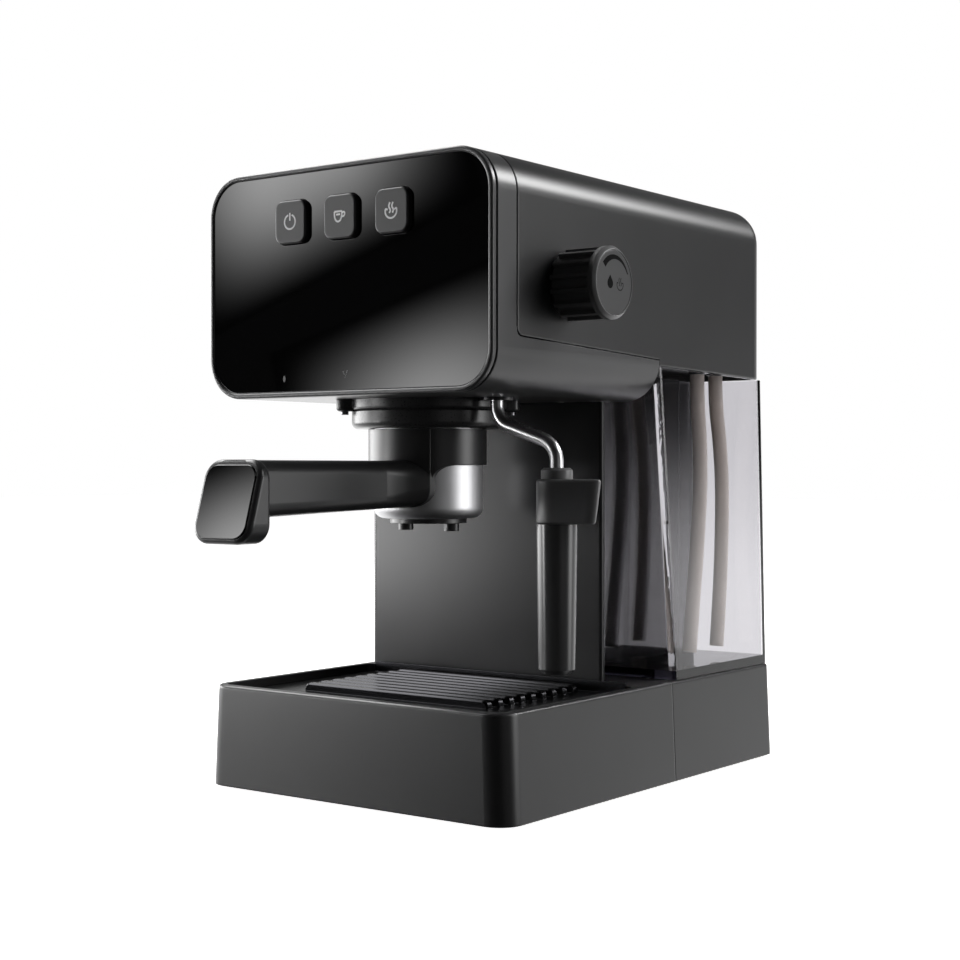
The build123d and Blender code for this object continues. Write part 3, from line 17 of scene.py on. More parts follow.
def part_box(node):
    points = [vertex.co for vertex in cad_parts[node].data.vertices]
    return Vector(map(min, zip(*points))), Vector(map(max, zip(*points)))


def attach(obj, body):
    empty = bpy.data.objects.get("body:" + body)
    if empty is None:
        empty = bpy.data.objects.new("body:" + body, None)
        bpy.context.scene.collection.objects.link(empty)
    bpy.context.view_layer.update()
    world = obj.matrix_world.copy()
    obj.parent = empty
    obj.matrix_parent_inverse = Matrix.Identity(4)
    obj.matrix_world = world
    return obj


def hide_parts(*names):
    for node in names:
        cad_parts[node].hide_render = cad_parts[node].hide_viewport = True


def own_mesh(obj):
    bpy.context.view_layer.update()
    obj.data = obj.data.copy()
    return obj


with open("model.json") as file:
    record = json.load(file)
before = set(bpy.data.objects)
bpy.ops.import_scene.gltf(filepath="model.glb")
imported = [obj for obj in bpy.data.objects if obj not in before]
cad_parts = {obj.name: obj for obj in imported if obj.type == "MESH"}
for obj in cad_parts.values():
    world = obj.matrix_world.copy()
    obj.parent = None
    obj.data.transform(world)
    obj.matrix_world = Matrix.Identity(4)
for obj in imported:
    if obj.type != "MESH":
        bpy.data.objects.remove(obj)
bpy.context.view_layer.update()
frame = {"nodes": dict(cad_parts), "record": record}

MM = 0.001
SENSOR_MM = 36.0
# Setting of a Map Range node that eases in and out
SOFTLY = {"interpolation_type": "SMOOTHSTEP"}
# Span that most of a noise's values lie in, and the narrower one over which the patches change tone
NOISE_SPAN = (0.3, 0.7)
PATCH_SPAN = (0.35, 0.65)
# Rays per sample that feel for a nearby edge
EDGE_SAMPLES = 8
# Tint of light that went through smoke-coloured plastic
SMOKE_TONE = "#8f8c9a"
WHITE = (1.0, 1.0, 1.0, 1.0)
log = logging.getLogger("espresso_machine")

# Two numbers, a point on a plane, a point in space, and the name or number of a node's input
Pair = tuple[float, float]
Point = tuple[float, float]
Place = tuple[float, float, float]
Socket = str | int


def linear(code: str) -> tuple[float, float, float, float]:
    """Turn an sRGB hex value into a linear colour.

    Args:
        code: Colour as "#rrggbb".

    Returns:
        Linear red, green and blue, and an alpha of 1.
    """
    parts = [int(code[index : index + 2], 16) / 255 for index in (1, 3, 5)]
    red, green, blue = (c / 12.92 if c <= 0.04045 else ((c + 0.055) / 1.055) ** 2.4 for c in parts)
    return red, green, blue, 1.0


def add_node(
    tree: bpy.types.NodeTree,
    kind: str,
    settings: dict[Socket, Any] | None = None,
    links: dict[Socket, bpy.types.NodeSocket] | None = None,
) -> bpy.types.Node:
    """Add a node, set its values and link its inputs.

    Args:
        tree: Node tree that gets the node.
        kind: Blender's identifier of the node.
        settings: Values by the name of a property, or by the name or number of an input.
        links: Sockets by the name or number of the input that they feed.

    Returns:
        The new node.
    """
    node = tree.nodes.new(kind)
    for name, value in (settings or {}).items():
        if isinstance(name, int) or name in node.inputs:
            node.inputs[name].default_value = value
        else:
            setattr(node, name, value)
    for name, socket in (links or {}).items():
        tree.links.new(socket, node.inputs[name])
    return node


def start_piece() -> None:
    """Leave edit mode and deselect everything, as operators act on all that is selected."""
    if bpy.context.object and bpy.context.object.mode != "OBJECT":
        bpy.ops.object.mode_set(mode="OBJECT")
    bpy.ops.object.select_all(action="DESELECT")


def pick(piece: bpy.types.Object) -> bpy.types.Object:
    """Make one object the selected and active one.

    Args:
        piece: The object.

    Returns:
        The same object.
    """
    start_piece()
    piece.select_set(True)
    bpy.context.view_layer.objects.active = piece
    return piece


def clear_selection() -> None:
    """Deselect all of the active mesh, and end in object mode, where points can be selected in code."""
    bpy.ops.object.mode_set(mode="EDIT")
    bpy.ops.mesh.select_all(action="DESELECT")
    bpy.ops.object.mode_set(mode="OBJECT")


def soften(piece: bpy.types.Object, width: float, segments: int, sharp: float, smooth_to: float) -> None:
    """Round the sharp edges of the active piece and shade it smooth.

    Args:
        piece: The piece.
        width: Width of the rounding, in millimetres.
        segments: Steps of the rounding.
        sharp: Angle from which an edge is rounded, in degrees.
        smooth_to: Angle up to which faces are shaded as one, in degrees.
    """
    bevel = piece.modifiers.new("soft_edges", "BEVEL")
    bevel.width = width * MM
    bevel.segments = segments
    bevel.angle_limit = math.radians(sharp)
    bpy.ops.object.modifier_apply(modifier=bevel.name)
    bpy.ops.object.shade_smooth_by_angle(angle=math.radians(smooth_to))


class Grain(Enum):
    """How a surface's fine marks run, as the stretch of their noise along X, Y and Z."""

    EVEN = (1.0, 1.0, 1.0)
    BRUSHED = (0.04, 1.0, 1.0)
    TURNED = (0.02, 0.02, 1.0)


@dataclass(frozen=True)
class Finish:
    """A surface of one material, from how it was made.

    Attributes:
        name: Material's name.
        tone: Main colour, sRGB hex.
        drift: Colour that it drifts to in broad patches, sRGB hex.
        roughness: Mean roughness.
        swing: Change of roughness over the grain.
        grain_mm: Size of the fine marks.
        depth_mm: Depth of the fine marks.
        grain: Way that the marks run.
        metallic: 1 for bare metal.
        ior: Index of refraction.
        clear: Share of light that goes through.
        edge_mm: Radius that the eye sees on worn or moulded edges.
        patch_mm: Size of the broad patches.
        smoke: Tint that grows with the path through it, per metre.
    """

    name: str
    tone: str
    drift: str
    roughness: float
    swing: float
    grain_mm: float
    depth_mm: float
    grain: Grain = Grain.EVEN
    metallic: float = 0.0
    ior: float = 1.5
    clear: float = 0.0
    edge_mm: float = 0.4
    patch_mm: float = 45.0
    smoke: float = 0.0

    def material(self) -> bpy.types.Material:
        """Build the material, or give back the one already built.

        Returns:
            The material.
        """
        made = bpy.data.materials.get(self.name)
        if made:
            return made
        made = bpy.data.materials.new(self.name)
        made.use_nodes = True
        tree = made.node_tree
        shader = tree.nodes["Principled BSDF"]
        place = add_node(tree, "ShaderNodeTexCoord").outputs["Object"]
        run = add_node(tree, "ShaderNodeMapping", {"Scale": self.grain.value}, {"Vector": place})
        marks = add_node(
            tree,
            "ShaderNodeTexNoise",
            {"Scale": 1 / (self.grain_mm * MM), "Detail": 3.0, "Roughness": 0.6},
            {"Vector": run.outputs["Vector"]},
        )
        patches = add_node(
            tree,
            "ShaderNodeTexNoise",
            {"Scale": 1 / (self.patch_mm * MM), "Detail": 2.0},
            {"Vector": place},
        )
        ramp = add_node(tree, "ShaderNodeValToRGB", links={"Fac": patches.outputs["Fac"]})
        for end, position, tone in zip(ramp.color_ramp.elements, PATCH_SPAN, (self.tone, self.drift)):
            end.position = position
            end.color = linear(tone)
        tree.links.new(ramp.outputs["Color"], shader.inputs["Base Color"])
        spread = add_node(
            tree,
            "ShaderNodeMapRange",
            {
                "From Min": NOISE_SPAN[0],
                "From Max": NOISE_SPAN[1],
                "To Min": self.roughness - self.swing,
                "To Max": self.roughness + self.swing,
            },
            {"Value": marks.outputs["Fac"]},
        )
        tree.links.new(spread.outputs["Result"], shader.inputs["Roughness"])
        bump = add_node(
            tree,
            "ShaderNodeBump",
            {"Strength": 1.0, "Distance": self.depth_mm * MM},
            {"Height": marks.outputs["Fac"]},
        )
        if self.edge_mm:
            edge = add_node(tree, "ShaderNodeBevel", {"samples": EDGE_SAMPLES, "Radius": self.edge_mm * MM})
            tree.links.new(edge.outputs["Normal"], bump.inputs["Normal"])
        tree.links.new(bump.outputs["Normal"], shader.inputs["Normal"])
        if self.smoke:
            tint = add_node(
                tree, "ShaderNodeVolumeAbsorption", {"Color": linear(SMOKE_TONE), "Density": self.smoke}
            )
            tree.links.new(tint.outputs["Volume"], tree.nodes["Material Output"].inputs["Volume"])
        shader.inputs["Metallic"].default_value = self.metallic
        shader.inputs["IOR"].default_value = self.ior
        shader.inputs["Transmission Weight"].default_value = self.clear
        return made


# Finishes by the record's material slots. Moulded grit is really 0.05 to 0.1 mm across, and marks on
# metal are finer still. They are drawn at 1.0 to 1.4 mm and at 0.7 to 1.0 mm, so that they show from here.
FINISHES: dict[str, Finish] = {
    # Satin ABS from a spark-eroded mould: dark grey, with soft wide highlights
    "charcoal_plastic": Finish(
        "satin_charcoal_abs", "#2e2e2f", "#2b2b2c", 0.30, 0.008, 1.2, 0.0004, edge_mm=1.2
    ),
    # The same plastic in a lighter grey, with tight edges
    "collar_plastic": Finish(
        "satin_collar_abs", "#454546", "#424243", 0.30, 0.008, 1.2, 0.0003, edge_mm=0.2
    ),
    # Painted ABS ring: dark grey with a smooth satin sheen
    "bezel_plastic": Finish("painted_bezel_abs", "#444445", "#404041", 0.28, 0.008, 1.0, 0.0002),
    # Piano black acrylic: near black body, sharp mirror reflections
    "gloss_black": Finish("piano_black_acrylic", "#060607", "#050505", 0.03, 0.01, 1.4, 0.0001),
    # ABS keys from a finely blasted mould: dark grey with a calm satin sheen
    "button_plastic": Finish("satin_key_abs", "#323233", "#2f2f30", 0.32, 0.008, 1.0, 0.0002),
    # ABS cap from the same kind of mould: a shade lighter, and a little more matt
    "cap_plastic": Finish("satin_cap_abs", "#3c3c3d", "#39393a", 0.34, 0.008, 1.0, 0.0002),
    # Black moulded nylon: very dark grey with a satin sheen
    "black_plastic": Finish("satin_black_nylon", "#333334", "#303031", 0.30, 0.008, 1.2, 0.0004),
    # Smoke tinted moulded SAN: clear, with a lilac grey tint and bright edges
    "smoke_clear": Finish(
        "smoke_clear_san",
        "#fbfafc",
        "#faf9fb",
        0.015,
        0.005,
        1.4,
        0.0001,
        ior=1.49,
        clear=1.0,
        edge_mm=0.0,
        smoke=55.0,
    ),
    # Die-cast aluminium, blasted and turned: pale satin grey metal
    "cast_aluminium": Finish(
        "blasted_cast_aluminium", "#dcdcde", "#d5d5d7", 0.44, 0.04, 0.9, 0.0006, metallic=1.0
    ),
    # Satin stainless tube: wide bright highlights with faint draw marks
    "bright_steel": Finish(
        "satin_stainless_tube", "#d6d6d8", "#cfcfd1", 0.30, 0.02, 0.8, 0.0002, Grain.TURNED, metallic=1.0
    ),
    # Brushed stainless sheet: grey metal with long fine lines along X
    "sheet_steel": Finish(
        "brushed_stainless_sheet", "#aeaeb0", "#a3a3a5", 0.30, 0.06, 0.7, 0.0004, Grain.BRUSHED, 1.0
    ),
    # Dark coated sheet steel: black with a metal-like gleam along the edges
    "dark_steel": Finish("black_coated_steel", "#2c2c2e", "#29292b", 0.26, 0.01, 1.0, 0.0003, metallic=1.0),
    # Zinc plated screws: dull mid grey metal
    "screw_steel": Finish("zinc_plated_steel", "#8d8d90", "#7d7d80", 0.36, 0.06, 0.7, 0.0004, metallic=1.0),
    # Turned brass: warm yellow metal with fine level lines
    "valve_brass": Finish("turned_brass", "#b58f45", "#a8823a", 0.30, 0.05, 0.7, 0.0004, Grain.TURNED, 1.0),
    # Milky silicone hose, tea-stained by use: soft, pale and a little brown
    "silicone": Finish("milky_silicone", "#efe5db", "#e6dbd0", 0.30, 0.02, 1.2, 0.0002, ior=1.41),
    # Moulded rubber: matt black, with almost no shine
    "black_rubber": Finish("matt_black_rubber", "#161616", "#131313", 0.72, 0.06, 1.0, 0.001),
    # Glass-epoxy board with a green mask: deep green, a little glossy
    "board_green": Finish("green_circuit_board", "#13452b", "#103c25", 0.38, 0.05, 1.0, 0.0004),
    # Cast resin round the pump's winding: dark blue, half matt
    "coil_resin": Finish("cast_coil_resin", "#2a2d55", "#25284c", 0.42, 0.05, 1.0, 0.0004),
}
# The column's charcoal ABS, from a finer mould: the light fades faster across it
COLUMN = Finish("fine_charcoal_abs", "#2e2e2f", "#2b2b2c", 0.20, 0.008, 1.2, 0.0003, ior=1.35, edge_mm=1.2)
# Smoother dark grey nylon of the frothing sleeve: sharper light lines along it
SLEEVE = Finish("polished_dark_nylon", "#444445", "#414142", 0.20, 0.03, 1.2, 0.0003)
# Dark grey nylon of the frother's grip, the wand's nut and the knob: soft satin
GRIP = Finish("satin_dark_nylon", "#6a6a6b", "#666667", 0.34, 0.01, 1.2, 0.0004)
# Cast group parts in black enamel: very dark grey, with a satin sheen along the edges
ENAMEL = Finish("black_enamelled_casting", "#363637", "#333334", 0.28, 0.01, 0.9, 0.0004)
# Screen-printed white ink: flat off-white, a little rough
INK = Finish("white_screen_ink", "#e9e9ea", "#dededf", 0.55, 0.05, 0.6, 0.0004, edge_mm=0.05)
# Screen-printed black ink: matt, so that it stays darker than the plastic beside it
DARK_INK = Finish("black_screen_ink", "#060607", "#050505", 0.8, 0.05, 0.6, 0.0004, ior=1.15, edge_mm=0.05)
# Thin coat of black ink: a little greyer and smoother than the full one
FAINT_INK = Finish("thin_black_ink", "#101011", "#0e0e0f", 0.7, 0.05, 0.6, 0.0004, ior=1.2, edge_mm=0.05)
# Screen-printed grey ink, for marks that stay in the background
GREY_INK = Finish("grey_screen_ink", "#4a4a4c", "#434345", 0.5, 0.05, 0.6, 0.0004, edge_mm=0.05)


@dataclass
class Softbox:
    """A soft studio light: a glowing panel that fades towards its edges.

    Attributes:
        name: Panel's name.
        centre: Middle of the panel.
        aim: Point that it faces.
        width: Size along its own X.
        height: Size along its own Y.
        power: Brightness at its middle.
        feather: Shares of its width and height over which it fades at each end.
        roll: Turn about its own axis, in degrees.
    """

    name: str
    centre: Place
    aim: Place
    width: float
    height: float
    power: float
    feather: Pair
    roll: float = 0.0

    def build(self) -> bpy.types.Object:
        """Build the panel with its glow, unseen by the camera and casting no shadow.

        Returns:
            The panel.
        """
        start_piece()
        bpy.ops.mesh.primitive_plane_add(size=1)
        panel = bpy.context.object
        panel.name = self.name
        towards = Vector(self.aim) - Vector(self.centre)
        turn = towards.to_track_quat("Z", "Y").to_matrix().to_4x4()
        roll = Matrix.Rotation(math.radians(self.roll), 4, "Z")
        scale = Matrix.Diagonal((self.width, self.height, 1, 1))
        panel.matrix_world = Matrix.Translation(self.centre) @ turn @ roll @ scale
        panel.visible_camera = False
        panel.visible_shadow = False
        panel.data.materials.append(self.glow())
        return panel

    def glow(self) -> bpy.types.Material:
        """Build the glow: full in the middle, nothing at the edges and behind.

        Returns:
            The material.
        """
        glow = bpy.data.materials.new(f"{self.name}_glow")
        glow.use_nodes = True
        tree = glow.node_tree
        tree.nodes.clear()
        spot = add_node(tree, "ShaderNodeTexCoord").outputs["UV"]
        sides = add_node(tree, "ShaderNodeSeparateXYZ", links={"Vector": spot})
        fades = []
        for side, feather in zip(("X", "Y"), self.feather):
            along = sides.outputs[side]
            off = add_node(tree, "ShaderNodeMath", {"operation": "SUBTRACT", 1: 0.5}, {0: along})
            off = add_node(tree, "ShaderNodeMath", {"operation": "ABSOLUTE"}, {0: off.outputs[0]})
            ends = {"From Min": 0.5 - feather, "From Max": 0.5, "To Min": 1.0, "To Max": 0.0}
            fade = add_node(tree, "ShaderNodeMapRange", {**SOFTLY, **ends}, {"Value": off.outputs[0]})
            fades.append(fade.outputs["Result"])
        both = add_node(tree, "ShaderNodeMath", {"operation": "MULTIPLY"}, {0: fades[0], 1: fades[1]})
        full = {"operation": "MULTIPLY", 1: self.power}
        level = add_node(tree, "ShaderNodeMath", full, {0: both.outputs[0]})
        face = add_node(tree, "ShaderNodeNewGeometry").outputs["Backfacing"]
        shine = add_node(tree, "ShaderNodeEmission", links={"Strength": level.outputs[0]})
        clear = add_node(tree, "ShaderNodeBsdfTransparent")
        mix = add_node(
            tree, "ShaderNodeMixShader", links={"Fac": face, 1: shine.outputs[0], 2: clear.outputs[0]}
        )
        add_node(tree, "ShaderNodeOutputMaterial", links={"Surface": mix.outputs[0]})
        return glow


@dataclass
class Studio:
    """Camera, pale floor, white backdrop and soft lights.

    Attributes:
        eye: Camera's place.
        azimuth: Camera's turn about Z, in degrees; 0 looks along +Y.
        elevation: Camera's angle above the horizon, in degrees.
        lens: Focal length in millimetres, on a sensor of SENSOR_MM.
        rear_glow: Light level of the backdrop behind the object.
        low_glow: Light level of the lower surroundings, behind and beside the object.
        front_glow: Light level of the room behind the camera.
        floor_glow: Light that the floor sheet gives off.
        floor_size: Side of the floor sheet.
        floor_drop: How far the sheet lies under the feet, so that no two faces coincide.
        softboxes: The cards that the gloss panel mirrors, then the lights on the body.
    """

    eye: Place = (0.585919, -0.807841, 0.176489)
    azimuth: float = 36.8157
    elevation: float = 0.4113
    lens: float = 64.116
    rear_glow: float = 0.9
    low_glow: float = 0.95
    front_glow: float = 0.02
    floor_glow: float = 0.97
    floor_size: float = 16.0
    floor_drop: float = 0.0002
    softboxes: list[Softbox] = field(
        default_factory=lambda: [
            Softbox(
                "upper_card",
                (-1.214, -1.4, 0.717),
                (-1.214, 0.0, 0.717),
                0.6,
                0.53,
                6.5,
                (0.4, 0.4),
                roll=-18.0,
            ),
            Softbox(
                "middle_card",
                (-0.937, -1.4, 0.254),
                (-0.937, 0.0, 0.254),
                0.57,
                0.361,
                6.0,
                (0.5, 0.5),
                roll=-15.5,
            ),
            Softbox("left_card", (-1.7, -1.4, 0.08), (-1.7, 0.0, 0.08), 1.6, 0.38, 22.0, (0.36, 0.45)),
            Softbox("low_card", (-1.55, -1.4, -0.42), (-1.55, 0.0, -0.42), 1.4, 0.66, 2.7, (0.5, 0.5)),
            Softbox("left_light", (-1.576, -0.278, 0.3), (0.0, 0.0, 0.2), 1.85, 1.0, 8.0, (0.3, 0.35)),
            Softbox("right_light", (1.43, 0.7, 0.3), (0.0, 0.0, 0.2), 1.35, 1.3, 4.7, (0.5, 0.35)),
            Softbox("high_light", (1.3, 0.5, 1.25), (0.0, 0.0, 0.25), 1.0, 0.8, 6.0, (0.4, 0.4)),
            Softbox("fill_card", (1.54, -0.72, 0.3), (0.0, 0.0, 0.3), 1.6, 1.2, 0.3, (0.5, 0.5)),
            Softbox("top_light", (-1.2, -0.1, 1.5), (0.0, 0.0, 0.1), 2.6, 1.3, 8.0, (0.3, 0.35)),
            Softbox("rim_light", (1.18, 1.6, 1.45), (0.1, 0.0, 0.33), 1.0, 1.05, 19.0, (0.3, 0.35)),
        ]
    )

    def build(self) -> None:
        """Build the camera, the floor, the backdrop and the lights."""
        self.place_camera()
        self.light_backdrop()
        self.lay_floor()
        for softbox in self.softboxes:
            softbox.build()
        bpy.context.scene.view_settings.view_transform = "Standard"

    def place_camera(self) -> None:
        """Put the camera where the photograph was taken from."""
        view = bpy.data.cameras.new("view")
        view.lens = self.lens
        view.sensor_width = SENSOR_MM
        view.clip_start = 0.01
        view.clip_end = 50.0
        camera = bpy.data.objects.new("view", view)
        bpy.context.scene.collection.objects.link(camera)
        camera.location = self.eye
        camera.rotation_euler = (math.radians(90 - self.elevation), 0.0, math.radians(self.azimuth))
        bpy.context.scene.camera = camera

    def light_backdrop(self) -> None:
        """Make the surroundings: white where they show, and as a light, bright behind and dim in front."""
        world = bpy.data.worlds.new("studio")
        world.use_nodes = True
        bpy.context.scene.world = world
        tree = world.node_tree
        tree.nodes.clear()
        shown = add_node(tree, "ShaderNodeBackground", {"Color": WHITE, "Strength": 1.0})
        way = add_node(tree, "ShaderNodeTexCoord").outputs["Generated"]
        turn = math.radians(self.azimuth)
        rear = (-math.sin(turn), math.cos(turn), 0.0)
        dot = add_node(tree, "ShaderNodeVectorMath", {"operation": "DOT_PRODUCT", 1: rear}, {0: way})
        along = dot.outputs["Value"]
        rise = add_node(tree, "ShaderNodeSeparateXYZ", links={"Vector": way}).outputs["Z"]
        # Each ramp: what it runs along, where it starts and ends there, and the levels at those ends
        ramps = [
            (along, (0.45, 0.85), (self.front_glow, self.rear_glow)),
            (rise, (0.04, 0.3), (1.0, 0.15)),
            (along, (0.0, 0.35), (0.0, self.low_glow)),
            (rise, (-0.06, 0.05), (1.0, 0.0)),
        ]
        keys = ("From Min", "From Max", "To Min", "To Max")
        behind, upper, around, lower = (
            add_node(
                tree, "ShaderNodeMapRange", {**SOFTLY, **dict(zip(keys, (*span, *levels)))}, {"Value": value}
            ).outputs["Result"]
            for value, span, levels in ramps
        )
        high = add_node(tree, "ShaderNodeMath", {"operation": "MULTIPLY"}, {0: behind, 1: upper}).outputs[0]
        sum_up = {0: around, 1: lower, 2: high}
        level = add_node(tree, "ShaderNodeMath", {"operation": "MULTIPLY_ADD"}, sum_up)
        dim = add_node(tree, "ShaderNodeBackground", {"Color": WHITE}, {"Strength": level.outputs[0]})
        # White for what is looked at straight or through the clear tank, but not for what is mirrored
        path = add_node(tree, "ShaderNodeLightPath")
        bounces = path.outputs["Glossy Depth"]
        straight = add_node(tree, "ShaderNodeMath", {"operation": "LESS_THAN", 1: 0.5}, {0: bounces})
        through, looked = path.outputs["Is Transmission Ray"], path.outputs["Is Camera Ray"]
        rays = {0: through, 1: straight.outputs[0], 2: looked}
        seen = add_node(tree, "ShaderNodeMath", {"operation": "MULTIPLY_ADD", "use_clamp": True}, rays)
        both = {"Fac": seen.outputs[0], 1: dim.outputs[0], 2: shown.outputs[0]}
        mix = add_node(tree, "ShaderNodeMixShader", links=both)
        add_node(tree, "ShaderNodeOutputWorld", links={"Surface": mix.outputs[0]})

    def lay_floor(self) -> None:
        """Lay a pale lit sheet under the object, which shows but isn't mirrored in it."""
        paper = Finish("pale_studio_sheet", "#f4f4f4", "#f2f2f2", 0.9, 0.02, 3.0, 0.001).material()
        shader = paper.node_tree.nodes["Principled BSDF"]
        shader.inputs["Emission Color"].default_value = WHITE
        shader.inputs["Emission Strength"].default_value = self.floor_glow
        start_piece()
        bpy.ops.mesh.primitive_plane_add(size=self.floor_size, location=(0.0, 0.0, -self.floor_drop))
        floor = bpy.context.object
        floor.name = "floor_sheet"
        floor.data.materials.append(paper)
        floor.visible_glossy = False
        floor.visible_diffuse = False
        floor.visible_transmission = False
        floor.visible_shadow = False


@dataclass
class Dressing:
    """Gives every CAD node the finish of its material slot, or its own.

    Attributes:
        own: Finishes of nodes that differ from their slot.
    """

    own: dict[str, Finish] = field(
        default_factory=lambda: {
            "column_housing": COLUMN,
            "froth_sleeve": SLEEVE,
            "wand_nut": GRIP,
            "group_flange": ENAMEL,
            "bayonet_ring": ENAMEL,
        }
    )

    def build(self) -> None:
        """Dress each node."""
        slots = {row["node"]: row["material_slot"] for row in frame["record"]["subparts"]}
        for name, node in frame["nodes"].items():
            finish = self.own.get(name, FINISHES[slots[name]])
            node.data.materials.clear()
            node.data.materials.append(finish.material())
            log.info("dressed %s in %s", name, finish.name)


@dataclass
class Hose:
    """A silicone hose that hangs from a spigot into the tank.

    Attributes:
        name: Piece's name.
        node: CAD node that it stands for.
        route: Y and Z of the points that its line follows, in millimetres.
        side: X of the line, in millimetres.
        radius: Outer radius, in millimetres.
        wall: Thickness of its wall, in millimetres.
        line_steps: Steps of the line between two points of the route.
        ring_steps: Steps of a quarter of its round section, beyond the first.
        smooth_to: Angle up to which its faces are shaded as one, in degrees.
    """

    name: str
    node: str
    route: list[Point]
    side: float = 74.0
    radius: float = 4.3
    wall: float = 1.3
    line_steps: int = 12
    ring_steps: int = 8
    smooth_to: float = 40.0

    def build(self) -> bpy.types.Object:
        """Returns:
            The hose.
        """
        start_piece()
        line = bpy.data.curves.new(self.name, "CURVE")
        line.dimensions = "3D"
        line.resolution_u = self.line_steps
        spline = line.splines.new("NURBS")
        spline.points.add(len(self.route) - 1)
        for point, (y, z) in zip(spline.points, self.route):
            point.co = (self.side * MM, y * MM, z * MM, 1.0)
        spline.order_u = 3
        spline.use_endpoint_u = True
        hose = bpy.data.objects.new(self.name, line)
        bpy.context.scene.collection.objects.link(hose)
        track = bpy.data.meshes.new_from_object(hose)
        bpy.data.meshes.remove(track)
        line.bevel_depth = self.radius * MM
        line.bevel_resolution = self.ring_steps
        pick(hose)
        bpy.ops.object.convert(target="MESH")
        wall = hose.modifiers.new("wall", "SOLIDIFY")
        wall.thickness = self.wall * MM
        wall.offset = -1.0
        bpy.ops.object.modifier_apply(modifier=wall.name)
        bpy.ops.object.shade_smooth_by_angle(angle=math.radians(self.smooth_to))
        self.dress(hose)
        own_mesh(hose)
        return hose

    def dress(self, hose: bpy.types.Object) -> None:
        """Give the hose its silicone and its body, and hide the node that it stands for.

        Args:
            hose: The hose.
        """
        hose.data.materials.clear()
        hose.data.materials.append(FINISHES["silicone"].material())
        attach(hose, "machine_body")
        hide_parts(self.node)


@dataclass
class SteamKnob:
    """The steam knob, with ribs that run up to a narrow rim round the cap.

    Attributes:
        node: CAD node that it stands for.
        ribs: Number of ribs.
        steps: Edges of the outline in the pitch of one rib.
        rib_steps: Steps that a rib's crest takes.
        waist: Radius between the ribs, in millimetres.
        crest: Radius over the ribs, in millimetres.
        rim: Width of the smooth rim, in millimetres.
        chamfer: Bevel at the rim's front, in millimetres.
        recess: Depth of the cap's seat, in millimetres.
        seat_gap: Gap round the cap, in millimetres.
        soft_edge: Rounding of the ribs' edges, in millimetres.
    """

    node: str = "steam_knob"
    ribs: int = 15
    steps: int = 16
    rib_steps: int = 4
    waist: float = 16.2
    crest: float = 18.2
    rim: float = 4.6
    chamfer: float = 1.6
    recess: float = 1.7
    seat_gap: float = 0.1
    soft_edge: float = 0.25

    def build(self) -> bpy.types.Object:
        """Shape the knob from a cylinder along X: first the rim, then the ribs.

        Returns:
            The knob.
        """
        low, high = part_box(self.node)
        axis = (low + high) / 2
        shoulder = high.x - self.rim * MM
        start_piece()
        bpy.ops.mesh.primitive_cylinder_add(
            vertices=self.ribs * self.steps,
            radius=self.waist * MM,
            depth=shoulder - low.x,
            location=((low.x + shoulder) / 2, axis.y, axis.z),
            rotation=(0.0, math.pi / 2, 0.0),
        )
        knob = bpy.context.object
        knob.name = knob.data.name = "ribbed_knob"
        bpy.ops.object.transform_apply(location=True, rotation=True, scale=True)
        self.add_rim(knob, axis, (high.z - low.z) / 2)
        self.raise_ribs(knob, axis)
        soften(knob, self.soft_edge, segments=2, sharp=40.0, smooth_to=35.0)
        self.dress(knob)
        return knob

    def add_rim(self, knob: bpy.types.Object, axis: Vector, outer: float) -> None:
        """Extrude the front face into the smooth rim and the cap's seat.

        Args:
            knob: Knob with a plain waist.
            axis: Point on the knob's axis.
            outer: Radius of the rim, in metres.
        """
        clear_selection()
        towards_user = 0.9
        for face in knob.data.polygons:
            face.select = face.normal.x > towards_user
        bpy.ops.object.mode_set(mode="EDIT")
        widest = outer / (self.waist * MM)
        front = 1 - self.chamfer * MM / outer
        seat = (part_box("knob_cap")[1].z - axis.z + self.seat_gap * MM) / outer
        # Each ring: step along X, and scale from the ring before it
        rings = [
            (0.0, widest),
            ((self.rim - self.chamfer) * MM, 1.0),
            (self.chamfer * MM, front),
            (0.0, seat / front),
            (-self.recess * MM, 1.0),
        ]
        for step, scale in rings:
            bpy.ops.mesh.extrude_region_move(TRANSFORM_OT_translate={"value": (step, 0.0, 0.0)})
            bpy.ops.transform.resize(value=(1.0, scale, scale), center_override=axis)
        bpy.ops.object.mode_set(mode="OBJECT")

    def raise_ribs(self, knob: bpy.types.Object, axis: Vector) -> None:
        """Move the waist's points outwards wherever a rib's crest is.

        Args:
            knob: Knob with a smooth waist.
            axis: Point on the knob's axis.
        """
        clear_selection()
        pitch = math.tau / self.ribs
        near = 0.01 * MM
        for point in knob.data.vertices:
            y, z = point.co.y - axis.y, point.co.z - axis.z
            step = (math.atan2(z, y) % pitch) / pitch * self.steps
            on_waist = abs(math.hypot(y, z) - self.waist * MM) < near
            point.select = on_waist and round(step) % self.steps <= self.rib_steps
        bpy.ops.object.mode_set(mode="EDIT")
        lift = self.crest / self.waist
        bpy.ops.transform.resize(value=(1.0, lift, lift), center_override=axis)
        bpy.ops.object.mode_set(mode="OBJECT")

    def dress(self, knob: bpy.types.Object) -> None:
        """Give the knob its nylon and its body, and hide the node that it stands for.

        Args:
            knob: The knob.
        """
        knob.data.materials.append(GRIP.material())
        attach(knob, "steam_knob")
        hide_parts(self.node)


